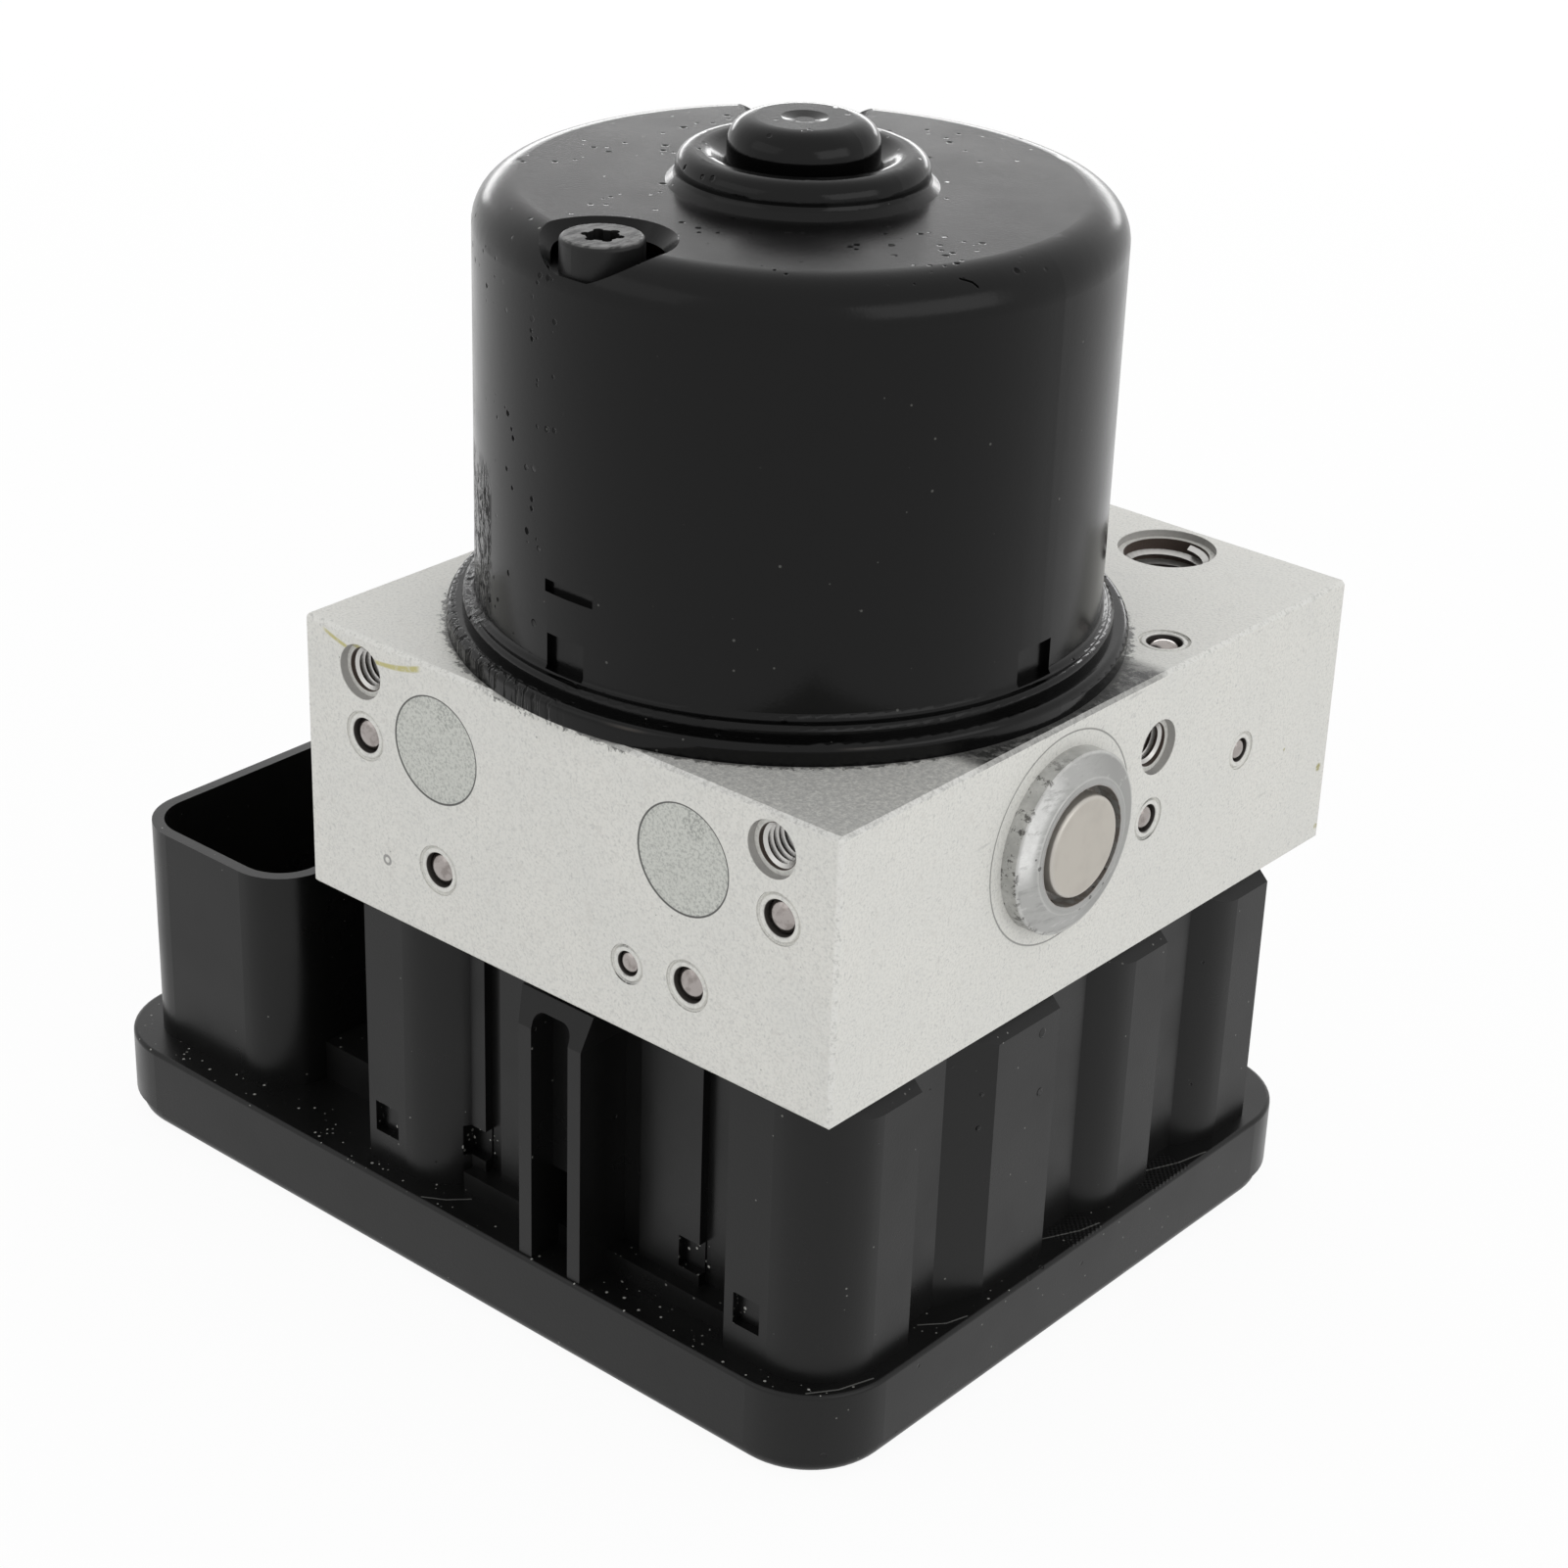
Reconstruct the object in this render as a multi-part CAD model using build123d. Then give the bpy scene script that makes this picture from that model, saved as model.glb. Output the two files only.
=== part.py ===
from build123d import *
import math
import os

os.makedirs("parts", exist_ok=True)

# Anti-lock brake module: a pump motor in a drawn steel can stands on an aluminium
# valve block, and a moulded control housing hangs under the block and carries it.
# X runs across the block, the connector is at -X. Y runs from the face with the two
# accumulator covers (-Y) to the face with the wheel ports (+Y). Z is up. The origin
# lies under the middle of the block, on the face that the module stands on.

# Valve block
block_width = 93.0
block_depth = 109.0
block_height = 40.2
block_edge = 0.5

# Base plate of the control housing and its bottom cover
plate_reach_left = 95.3
plate_reach_right = 48.4
plate_depth = 111.6
plate_corner = 13.0
plate_edge = 0.6
rim_height = 10.1
rim_wall = 2.4
deck_wall = 2.4
cover_height = 3.2
cover_inset = 0.9
cover_edge = 1.8
tongue_height = 1.5
tongue_wall = 1.6

# Coil chambers between the deck and the block
chamber_height = 41.1
chamber_wall = 1.8
chamber_roof = 2.4
chamber_left = -38.4
chamber_front = -46.5
tower_right = 45.9
tower_size = 17.2
tower_round = 9.8
tower_bevel = 2.2
recess_depth = 3.0
flank_length = 7.2
flank_bulge = 0.75
round_face = 7.4
facet_face = 13.2
facet_row = 1
tower_rows = [-44.0, -14.9, 9.8, 34.4]
gasket_thickness = 0.8
gasket_width = 2.0
gasket_inset = 1.0

# Front wall details: raised panels, ledge, fins with their channel, drain slots
panel_rise = 1.4
panel_spans = [(-24.2, -19.9), (-16.9, -8.0), (9.3, 20.1)]
ledge_front = -50.0
ledge_height = 3.2
fin_thickness = 2.3
fin_spread = 9.0
fin_centre = -0.45
fin_head = 5.0
fin_flare = 0.8
fin_slope = 1.6
fin_bar = 2.3
fin_arch = 1.8
channel_back = -51.0
channel_window = 13.0
slot_width = 4.5
slot_height = 4.8
slot_above_deck = 7.3
slot_recess = 1.2
tower_slots = [-34.8, 32.5]
wall_slots = [-21.2, 18.7]

# Connector socket, open at the top
socket_inset = 4.1
socket_width = 33.0
socket_front = -51.0
socket_back = 22.0
socket_corner = 8.5
socket_wall = 1.8
socket_height = 34.5
bridge_front = -43.0
bridge_height = 6.3

# Motor
motor_x = -0.2
motor_y = -10.2
can_radius = 41.5
can_height = 59.6
can_wall = 2.0
can_shoulder = 5.5
flange_width = 3.8
flange_height = 2.8
flange_edge = 1.0
foot_step = 1.7
foot_height = 4.4
foot_edge = 0.7
foot_blend = 0.9
boss_radius = 16.1
boss_rise = 4.2
boss_round = 2.3
boss_skirt = 1.2
boss_skirt_rise = 1.1
boss_skirt_round = 0.8
cap_radius = 9.7
cap_rise = 8.3
cap_round = 3.4
cap_dimple_radius = 3.0
cap_dimple_floor = 1.3
cap_dimple = 0.4
groove_floor = 2.6
groove_slope = 2.6
screw_inset = 6.0
screw_angles = [-91.3, 130.0]
screw_seat_drops = [0.0, 1.5]
screw_pocket_radius = 9.1
screw_pocket_floor = 6.3
screw_pocket_depth = 3.7
screw_ledge_inset = 0.9
screw_head_radius = 5.2
screw_head_height = 4.1
screw_head_edge = 0.6
screw_socket_radius = 2.05
screw_socket_lobe = 0.62
screw_socket_lobes = 6
screw_socket_depth = 3.0
screw_radius = 2.5
screw_grip = 14.0
crimp_angles = [-91.5, -1.5, 88.5, 178.5]
crimp_width = 6.4
crimp_bottom = 4.6
crimp_height = 4.8
crimp_depth = 1.0
lance_angle = -90.8
lance_width = 8.2
lance_bottom = 14.9
lance_height = 1.7
shaft_radius = 4.0
shaft_tail = 1.0
bearing_radius = 11.0
bearing_height = 7.0
bearing_carrier = 3.0
rear_bearing_radius = 8.0
rear_bearing_height = 5.0
rear_bearing_gap = 1.6
magnet_count = 8
magnet_span = 28.5
magnet_thickness = 9.7
magnet_bottom = 12.0
magnet_height = 36.0
air_gap = 0.8
armature_bottom = 17.0
armature_height = 27.0
armature_slots = 12
slot_depth = 9.0
slot_breadth = 4.4
slot_lip = 1.0
winding_turn = 4.5
commutator_radius = 11.0
commutator_bottom = 4.2
commutator_height = 6.4
brush_plate_thickness = 3.0
brush_width = 5.0
brush_height = 4.6
brush_length = 9.0
brush_floor = 0.6
brush_box_gap = 1.0
brush_box_wall = 1.2
brush_box_lid = 1.0
brush_box_length = 15.0
brush_spring_radius = 1.6
brush_spring_turns = 3
seal_size = 1.2

# Pump
pump_height = 24.0
eccentric_throw = 1.2
eccentric_radius = 6.5
eccentric_ring_radius = 10.5
eccentric_ring_height = 9.0
eccentric_chamber = 15.0
eccentric_floor = 4.0
piston_radius = 3.5
piston_collar = 5.6
piston_start = 12.0
collar_at = 28.0
collar_thickness = 2.0
piston_end = 38.0
spring_chamber = 8.0
piston_spring_turns = 3
plug_inner = 36.5
plug_body_radius = 10.0
plug_head_radius = 12.45
plug_head = 3.5
plug_bevel_rise = 1.3
plug_bevel_width = 3.3
plug_wall = 2.0
plug_recess_radius = 8.2
plug_recess = 2.6
plug_disc_radius = 6.95
plug_disc_stand = 0.4
plug_disc_edge = 0.6

# Accumulators behind the two round covers of the front face
accumulator_x = 21.7
accumulator_z = 28.4
accumulator_bore = 7.0
accumulator_depth = 30.5
accumulator_cover_radius = 7.35
accumulator_cover = 1.6
accumulator_piston = 9.0
accumulator_cup = 5.4
accumulator_head = 2.5
accumulator_spring_turns = 7

# Solenoid valves
valve_column_left = -29.8
valve_seat_radius = 4.9
valve_seat_depth = 12.0
valve_tube_radius = 3.0
valve_tube_wall = 0.7
valve_tube = 24.0
plunger_length = 12.0
plunger_travel = 0.4
coil_height = 24.0
coil_flange = 1.4
coil_rim = 0.5

# Threaded holes and pressed-in ball plugs of the block
mount_thread_radius = 3.0
mount_mouth_radius = 3.85
mount_mouth = 1.2
mount_depth = 11.0
front_mount_x = 35.8
front_mount_z = 35.0
side_mount_y = 10.7
side_mount_z = 29.6
port_radius = 6.0
port_mouth_radius = 7.0
port_mouth = 1.0
port_depth = 14.0
port_x = 22.0
port_y = 46.1
wheel_port_radius = 5.0
wheel_port_x = [-36.0, -13.0, 13.0, 36.0]
wheel_port_z = 20.0
plug_mouth = 0.9
front_plugs = [(-35.2, 25.9, 2.4), (37.2, 26.1, 2.4), (-21.6, 10.8, 2.4),
               (22.8, 11.1, 2.4), (12.5, 10.1, 1.65)]
side_plugs = [(9.7, 19.4, 1.9), (31.2, 22.0, 1.65)]
top_plug = (40.3, 19.4, 2.4)
plug_collar = 1.15
ball_set_back = 0.9

# Circuit board, pins and screws
board_gap = 5.0
board_thickness = 1.6
board_margin = 3.6
board_post_radius = 2.5
board_post_inset = 12.0
pin_size = 0.8
pin_pitch = 4.0
pin_inset = 10.2
pin_row_count = 3
pin_count = 9
pin_reach = 9.0
blade_size = (1.0, 5.0)
blade_places = [-38.0, 12.0]
terminal_reach = 24.0
terminal_bore = 5.0
terminal_gap = 4.0
terminal_size = (0.8, 2.0)
housing_screw_radius = 2.0
housing_screw_head = 3.4
housing_screw_head_height = 3.0
housing_screw_places = [(-29.8, -29.5), (29.5, -29.5), (-29.8, 22.1), (29.5, 22.1)]
housing_screw_grip = 9.0

# Clearances
running = 0.05
clear = 0.3
wire = 1.0

# Overshoot of shapes that are joined to or cut from each other
over = 1.0

socket_left = -plate_reach_left + socket_inset
socket_right = socket_left + socket_width
pin_rows = [socket_left + pin_inset + row * pin_pitch for row in range(pin_row_count)]
flange_radius = can_radius + flange_width
foot_radius = can_radius + foot_step
screw_circle = can_radius - screw_inset
magnet_inner = can_radius - can_wall - magnet_thickness
armature_radius = magnet_inner - air_gap

deck_z = cover_height + rim_height
block_z = deck_z + chamber_height + gasket_thickness
block_top = block_z + block_height
housing_top = block_z - gasket_thickness
roof_under = housing_top - chamber_roof
pump_z = block_z + pump_height
board_z = cover_height + board_gap
board_top = board_z + board_thickness
face_x = block_width / 2
face_y = -block_depth / 2
valve_columns = [valve_column_left, tower_right - tower_size / 2]
tower_front = tower_rows[0] - tower_size / 2
valve_places = [(x, y) for y in tower_rows for x in valve_columns]
chamber_right = tower_right - recess_depth
chamber_back = tower_rows[-1] + tower_size / 2
coil_top = roof_under
round_offset = tower_round - tower_size / 2
coil_radius = tower_round - chamber_wall - math.sqrt(2) * round_offset - clear


def ring(outer, inner, height, z=0.0):
    """A plain ring or washer with its lower face at z."""
    body = Cylinder(outer, height, align=(Align.CENTER, Align.CENTER, Align.MIN))
    body -= Cylinder(inner, height, align=(Align.CENTER, Align.CENTER, Align.MIN))
    return Pos(0, 0, z) * body


def rod(radius, height, z=0.0):
    """A plain round bar with its lower face at z."""
    return Pos(0, 0, z) * Cylinder(radius, height, align=(Align.CENTER, Align.CENTER, Align.MIN))


def box(x0, x1, y0, y1, z0, z1):
    """A box between two corners."""
    body = Box(x1 - x0, y1 - y0, z1 - z0)
    return Pos((x0 + x1) / 2, (y0 + y1) / 2, (z0 + z1) / 2) * body


def turned(points):
    """A solid turned about Z from (radius, height) points."""
    profile = Polyline(*[(r, z) for r, z in points], close=True)
    return revolve(Plane.XZ * make_face(profile), Axis.Z)


def rounded_plate(x0, x1, y0, y1, corner, z0, height):
    """An upright prism on a rectangle with rounded corners."""
    outline = Pos((x0 + x1) / 2, (y0 + y1) / 2) * RectangleRounded(x1 - x0, y1 - y0, corner)
    return Pos(0, 0, z0) * extrude(outline, height)


def from_front(x, z):
    """Placement on the front face, with local Z pointing into the block."""
    return Pos(x, face_y, block_z + z) * Rot(-90, 0, 0)


def from_right(y, z):
    """Placement on the right face, with local Z pointing into the block."""
    return Pos(face_x, y, block_z + z) * Rot(0, -90, 0)


def coil_spring(radius, length, turns, z=0.0):
    """A compression spring of square wire along Z, ends cut flat by their own turns."""
    path = Helix(pitch=(length - wire) / turns, height=length - wire, radius=radius)
    section = Plane(origin=path @ 0, z_dir=path % 0) * Rectangle(wire, wire)
    return Pos(0, 0, z + wire / 2) * sweep(section, path, is_frenet=True)


def at_motor(shape):
    """Moves a shape drawn about Z, with z = 0 on the block's top, to the motor's axis."""
    return Pos(motor_x, motor_y, block_top) * shape


def on_screw_circle(angle):
    """Placement of a motor screw, about the motor's axis."""
    return Rot(0, 0, angle) * Pos(screw_circle, 0, 0)


def corner_tower(x_right, y, inset):
    """Plan of a front tower: square, with a large round on its outer right corner."""
    side = tower_size - 2 * inset
    plan = Rectangle(side, side)
    corner = plan.vertices().sort_by(lambda v: v.X - v.Y)[-1]
    return Pos(x_right - tower_size / 2, y) * fillet(corner, tower_round - inset)


def side_tower(row, inset):
    """Plan of a tower on the right side: flat face, straight back edge, and a flank
    towards the front that is a flat facet on one tower and slightly domed on the others."""
    face = facet_face if row == facet_row else round_face
    y_back = tower_rows[row] + tower_size / 2
    shift = inset * math.tan(math.atan2(recess_depth, flank_length) / 2)
    crease = (tower_right - inset, y_back - face + shift)
    root = (crease[0] - recess_depth, crease[1] - flank_length)
    inner_x = chamber_right - tower_round
    edges = Polyline(root, (inner_x, root[1]), (inner_x, y_back - inset), (crease[0], y_back - inset), crease)
    if row == facet_row:
        edges += Line(crease, root)
    else:
        middle_x = (crease[0] + root[0]) / 2 + flank_bulge
        edges += ThreePointArc(crease, (middle_x, (crease[1] + root[1]) / 2), root)
    return make_face(edges)


def chamber_plan(inset=0.0):
    """Plan of the coil chambers, drawn in by an inset all round."""
    x_mid = (chamber_left + chamber_right) / 2
    y_mid = (chamber_front + chamber_back) / 2
    width = chamber_right - chamber_left - 2 * inset
    plan = Pos(x_mid, y_mid) * Rectangle(width, chamber_back - chamber_front - 2 * inset)
    plan += corner_tower(tower_right, tower_rows[0], inset)
    plan += corner_tower(chamber_left + tower_size, tower_rows[0], inset)
    for row in range(1, len(tower_rows)):
        plan += side_tower(row, inset)
    return plan


def valve_block():
    body = Pos(0, 0, block_z + block_height / 2) * Box(block_width, block_depth, block_height)
    body = chamfer(body.edges(), block_edge)
    # Eccentric chamber, bearing seat and the bore for the motor's terminals
    floor = pump_height - eccentric_ring_height / 2 - eccentric_floor
    chamber = rod(eccentric_chamber, block_height, floor - block_height)
    body -= at_motor(chamber)
    body -= at_motor(Pos(0, terminal_reach, 0) * rod(terminal_bore, 2 * block_height, -block_height * 1.5))
    for angle, drop in zip(screw_angles, screw_seat_drops):
        grip = screw_grip + drop
        body -= at_motor(on_screw_circle(angle) * rod(screw_radius, grip, -grip))
    # Pump bores, one to each side of the eccentric
    for side in (-1, 1):
        turn = Pos(motor_x, motor_y, pump_z) * Rot(0, 90 * side, 0)
        offset = -motor_x * side
        body -= turn * rod(piston_radius + running, collar_at)
        body -= turn * rod(spring_chamber, face_x, collar_at - 2 * clear)
        body -= turn * rod(plug_body_radius, face_x, plug_inner + offset)
    # Accumulator bores
    for side in (-1, 1):
        place = from_front(side * accumulator_x, accumulator_z)
        body -= place * rod(accumulator_bore, accumulator_depth)
        body -= place * rod(accumulator_cover_radius, accumulator_cover)
    # Valve seats in the lower face
    for x, y in valve_places:
        body -= Pos(x, y, block_z) * rod(valve_seat_radius, valve_seat_depth)
    for x, y in housing_screw_places:
        body -= Pos(x, y, block_z) * rod(housing_screw_radius, housing_screw_grip)
    # Threaded holes with a counterbored mouth
    mouth = rod(mount_thread_radius, mount_depth) + rod(mount_mouth_radius, mount_mouth)
    for side in (-1, 1):
        body -= from_front(side * front_mount_x, front_mount_z) * mouth
        body -= Rot(0, 0, 90 - 90 * side) * from_right(side * side_mount_y, side_mount_z) * mouth
    inlet = rod(port_radius, port_depth) + rod(port_mouth_radius, port_mouth)
    for side in (-1, 1):
        body -= Pos(side * port_x, port_y, block_top) * Rot(180, 0, 0) * inlet
    outlet = rod(wheel_port_radius, port_depth) + rod(wheel_port_radius + port_mouth, port_mouth)
    for x in wheel_port_x:
        body -= Pos(x, -face_y, block_z + wheel_port_z) * Rot(90, 0, 0) * outlet
    for place, radius in plug_places():
        depth = plug_mouth + ball_set_back + 2 * radius
        body -= place * (rod(radius, depth) + rod(radius + plug_collar, plug_mouth))
    return body


def plug_places():
    """Placement and radius of each pressed-in ball plug."""
    places = [(from_front(x, z), r) for x, z, r in front_plugs]
    places += [(from_right(y, z), r) for y, z, r in side_plugs]
    x, y, r = top_plug
    places.append((Pos(x, y, block_top) * Rot(180, 0, 0), r))
    return places


def ball_plugs():
    depth = plug_mouth + ball_set_back
    return Compound([place * Pos(0, 0, depth + r) * Sphere(r) for place, r in plug_places()])


def pump_plug(side):
    """Steel plug that closes a pump bore, with a raised, bevelled and recessed head."""
    depth = face_x - plug_inner
    floor = plug_head - plug_recess
    body = turned([
        (0, -depth), (plug_body_radius, -depth), (plug_body_radius, 0), (plug_head_radius, 0),
        (plug_head_radius, plug_head - plug_bevel_rise), (plug_head_radius - plug_bevel_width, plug_head),
        (plug_recess_radius, plug_head), (plug_recess_radius, floor), (0, floor),
    ])
    body -= rod(piston_radius + running, depth - plug_wall, -depth)
    return Pos(side * face_x, motor_y, pump_z) * Rot(0, 90 * side, 0) * body


def plug_disc(side):
    """Round cap pressed into the recess of a pump plug."""
    body = rod(plug_disc_radius, plug_recess + plug_disc_stand, plug_head - plug_recess)
    body = fillet(body.edges().filter_by(GeomType.CIRCLE).sort_by(Axis.Z)[-1], plug_disc_edge)
    return Pos(side * face_x, motor_y, pump_z) * Rot(0, 90 * side, 0) * body


def pump_piston(side):
    body = rod(piston_radius, piston_end - piston_start, piston_start)
    body += rod(piston_collar, collar_thickness, collar_at)
    return Pos(motor_x, motor_y, pump_z) * Rot(0, 90 * side, 0) * body


def piston_spring(side):
    start = collar_at + collar_thickness
    length = plug_inner - start - motor_x * side
    body = coil_spring(piston_collar - wire / 2, length, piston_spring_turns, start)
    return Pos(motor_x, motor_y, pump_z) * Rot(0, 90 * side, 0) * body


def eccentric_ring():
    height = eccentric_ring_height
    body = ring(eccentric_ring_radius, eccentric_radius + running, height, -height / 2)
    return Pos(motor_x, motor_y + eccentric_throw, pump_z) * body


def accumulator_parts(side):
    """Piston, spring and cover of one accumulator."""
    place = from_front(side * accumulator_x, accumulator_z)
    start = accumulator_depth - clear - accumulator_piston
    piston = rod(accumulator_bore - running, accumulator_piston, start)
    cup = accumulator_piston - accumulator_head
    piston -= rod(accumulator_cup, cup, start)
    length = start + cup - accumulator_cover
    spring = coil_spring(accumulator_cup - wire, length, accumulator_spring_turns, accumulator_cover)
    cover = rod(accumulator_cover_radius, accumulator_cover)
    return place * piston, place * spring, place * cover


def valve_cartridge(x, y):
    """Valve insert: seat in the block, thin closed tube down into the coil."""
    inner = valve_tube_radius - valve_tube_wall
    tip = block_z - valve_tube
    body = rod(valve_seat_radius, valve_seat_depth, block_z)
    body += rod(valve_tube_radius, valve_tube, tip)
    top = tip + valve_tube_wall + plunger_travel + plunger_length + plunger_travel + clear
    body -= rod(inner, top - tip - valve_tube_wall, tip + valve_tube_wall)
    return Pos(x, y, 0) * body


def valve_plunger(x, y):
    inner = valve_tube_radius - valve_tube_wall - running
    return Pos(x, y, block_z - valve_tube + valve_tube_wall) * rod(inner, plunger_length, clear / 2)


def valve_coil(x, y):
    """Bobbin and winding around a valve tube, with two legs down to the board."""
    outer = coil_radius - coil_rim
    hole = valve_tube_radius + clear
    low = coil_top - coil_height
    body = ring(coil_radius, hole, coil_flange, low)
    body += ring(outer, hole, coil_height - 2 * coil_flange, low + coil_flange)
    body += ring(coil_radius, hole, coil_flange, coil_top - coil_flange)
    for side in (-1, 1):
        leg = side * (coil_radius + hole) / 2
        body += box(leg - pin_size / 2, leg + pin_size / 2, -pin_size / 2, pin_size / 2, board_top, low)
    return Pos(x, y, 0) * body


def motor_can():
    """Drawn can: flange, rolled foot, wall, rounded shoulder, boss ring and bearing cap."""
    top = can_height
    boss = top + boss_rise
    cap = top + cap_rise
    skirt = boss_radius + boss_skirt
    skirt_top = top + boss_skirt_rise
    crest = cap_radius + groove_slope
    inner = can_radius - can_wall
    outer_points = [
        (inner, 0), (flange_radius, 0), (flange_radius, flange_height), (foot_radius, flange_height),
        (foot_radius, foot_height), (can_radius, foot_height), (can_radius, top), (skirt, top),
        (boss_radius, skirt_top), (boss_radius, boss), (crest, boss),
        (cap_radius, top + groove_floor), (cap_radius, cap), (cap_dimple_radius, cap),
        (cap_dimple_floor, cap - cap_dimple), (0, cap - cap_dimple), (0, cap - can_wall), (rear_bearing_radius, cap - can_wall),
        (rear_bearing_radius, top - can_wall), (inner, top - can_wall),
    ]
    body = turned(outer_points)

    def edge_at(radius, z):
        return [e for e in body.edges().filter_by(GeomType.CIRCLE)
                if abs(e.radius - radius) < 0.01 and abs(e.center().Z - z) < 0.01]

    body = fillet(edge_at(can_radius, top), can_shoulder)
    body = fillet(edge_at(inner, top - can_wall), can_shoulder - can_wall)
    body = fillet(edge_at(boss_radius, boss) + edge_at(crest, boss), boss_round)
    body = fillet(edge_at(boss_radius, skirt_top), boss_skirt_round)
    body = fillet(edge_at(cap_radius, cap), cap_round)
    body = fillet(edge_at(flange_radius, flange_height), flange_edge)
    body = fillet(edge_at(foot_radius, foot_height), foot_edge)
    body = fillet(edge_at(can_radius, foot_height), foot_blend)
    # Dished seats for the screws, with a ledge where a seat runs out of the shoulder
    ledge = can_radius - screw_ledge_inset
    for angle, drop in zip(screw_angles, screw_seat_drops):
        floor = top - screw_pocket_depth - drop
        dish = turned([(0, floor), (screw_pocket_floor, floor), (screw_pocket_radius, top),
                       (screw_pocket_radius, top + boss_rise), (0, top + boss_rise)])
        seat = on_screw_circle(angle)
        cup = seat * rod(screw_pocket_radius, floor)
        body += cup & (ring(ledge, inner, floor) + rod(ledge, can_wall, floor - can_wall))
        body -= seat * dish
        body -= seat * rod(screw_radius + clear, can_height)
    # Square crimp pockets round the foot and one lanced slit above them
    start = can_radius - crimp_depth
    half = crimp_width / 2
    pocket = box(start, can_radius + over, -half, half, crimp_bottom, crimp_bottom + crimp_height)
    for angle in crimp_angles:
        body -= Rot(0, 0, angle) * pocket
    half = lance_width / 2
    slit = box(start, can_radius + over, -half, half, lance_bottom, lance_bottom + lance_height)
    body -= Rot(0, 0, lance_angle) * slit
    return at_motor(body)


def motor_screws():
    """Two long screws with lobed sockets that clamp the can to the block."""
    head = rod(screw_head_radius, screw_head_height)
    head = fillet(head.edges().filter_by(GeomType.CIRCLE).sort_by(Axis.Z)[-1], screw_head_edge)
    socket = Circle(screw_socket_radius)
    for lobe in range(screw_socket_lobes):
        turn = Rot(0, 0, 360 * lobe / screw_socket_lobes)
        socket += turn * Pos(screw_socket_radius, 0) * Circle(screw_socket_lobe)
    head -= Pos(0, 0, screw_head_height - screw_socket_depth) * extrude(socket, screw_socket_depth)
    floor = can_height - screw_pocket_depth
    screw = Pos(0, 0, floor) * head + rod(screw_radius, floor + screw_grip, -screw_grip)
    return Compound([at_motor(on_screw_circle(angle) * Pos(0, 0, -drop) * screw)
                     for angle, drop in zip(screw_angles, screw_seat_drops)])


def magnets():
    """Arc magnets on the can's inner wall, with the screws in two of their gaps."""
    outer = can_radius - can_wall
    arcs = []
    for index in range(magnet_count):
        middle = screw_angles[0] + (index + 0.5) * 360 / magnet_count
        sector = CenterArc((0, 0), 2 * outer, middle - magnet_span / 2, magnet_span)
        wedge = make_face(Polyline((0, 0), sector @ 0) + sector + Polyline(sector @ 1, (0, 0)))
        plan = (Circle(outer) - Circle(magnet_inner)) & wedge
        arcs.append(at_motor(Pos(0, 0, magnet_bottom) * extrude(plan, magnet_height)))
    return Compound(arcs)


def motor_shaft():
    """Shaft with the eccentric journal of the pump in one piece."""
    top = can_height + cap_rise - can_wall - clear
    journal_low = pump_height - block_height - eccentric_ring_height / 2
    low = journal_low - shaft_tail
    body = rod(shaft_radius, top - low, low)
    journal = rod(eccentric_radius, eccentric_ring_height, journal_low)
    body += Pos(0, eccentric_throw, 0) * journal
    return at_motor(body)


def slot_bars(breadth, bottom, height):
    """Radial bars, one for each armature slot."""
    bars = None
    for index in range(armature_slots):
        bar = box(armature_radius - slot_depth, armature_radius - slot_lip, -breadth / 2, breadth / 2,
                  bottom, bottom + height)
        bar = Rot(0, 0, 360 * index / armature_slots) * bar
        bars = bar if bars is None else bars + bar
    return bars


def armature_core():
    body = ring(armature_radius, shaft_radius, armature_height, armature_bottom)
    body -= slot_bars(slot_breadth, armature_bottom, armature_height)
    mouth = slot_breadth / 2
    for index in range(armature_slots):
        gap = box(armature_radius - slot_lip - clear, armature_radius + over, -mouth / 2, mouth / 2,
                  armature_bottom, armature_bottom + armature_height)
        body -= Rot(0, 0, 360 * index / armature_slots) * gap
    return at_motor(body)


def armature_windings():
    """Copper in the slots, joined by the end turns above and below the core."""
    outer = armature_radius - slot_lip
    inner = armature_radius - slot_depth
    body = slot_bars(slot_breadth - 2 * clear, armature_bottom, armature_height)
    body += ring(outer, inner, winding_turn, armature_bottom - winding_turn)
    body += ring(outer, inner, winding_turn, armature_bottom + armature_height)
    return at_motor(body)


def commutator():
    body = ring(commutator_radius, shaft_radius, commutator_height, commutator_bottom)
    return at_motor(body)


def brush_plate():
    """Plastic end plate with two brush boxes, between the can and the block."""
    outer = can_radius - can_wall - clear
    body = ring(outer, bearing_radius + clear, brush_plate_thickness)
    for angle in screw_angles:
        body -= on_screw_circle(angle) * rod(screw_radius + clear, brush_plate_thickness)
    for side in (0, 180):
        start = commutator_radius + brush_box_gap
        half = brush_width / 2 + brush_box_wall
        floor = brush_plate_thickness + brush_floor
        roof = floor + brush_height + 2 * running
        end = start + brush_box_length
        holder = box(start, end, -half, half, brush_plate_thickness, roof + brush_box_lid)
        inner = brush_width / 2 + running
        room = box(start, end - brush_box_lid, -inner, inner, floor, roof)
        body += Rot(0, 0, side) * (holder - room)
    return at_motor(body)


def brush(side):
    low = brush_plate_thickness + brush_floor + running
    start = commutator_radius + running
    body = box(start, start + brush_length, -brush_width / 2, brush_width / 2, low, low + brush_height)
    return at_motor(Rot(0, 0, side) * body)


def brush_spring(side):
    start = commutator_radius + running + brush_length
    length = commutator_radius + brush_box_gap + brush_box_length - brush_box_lid - start
    middle = brush_plate_thickness + brush_floor + running + brush_height / 2
    spring = coil_spring(brush_spring_radius, length, brush_spring_turns)
    return at_motor(Rot(0, 0, side) * Pos(start, 0, middle) * Rot(0, 90, 0) * spring)


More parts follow.
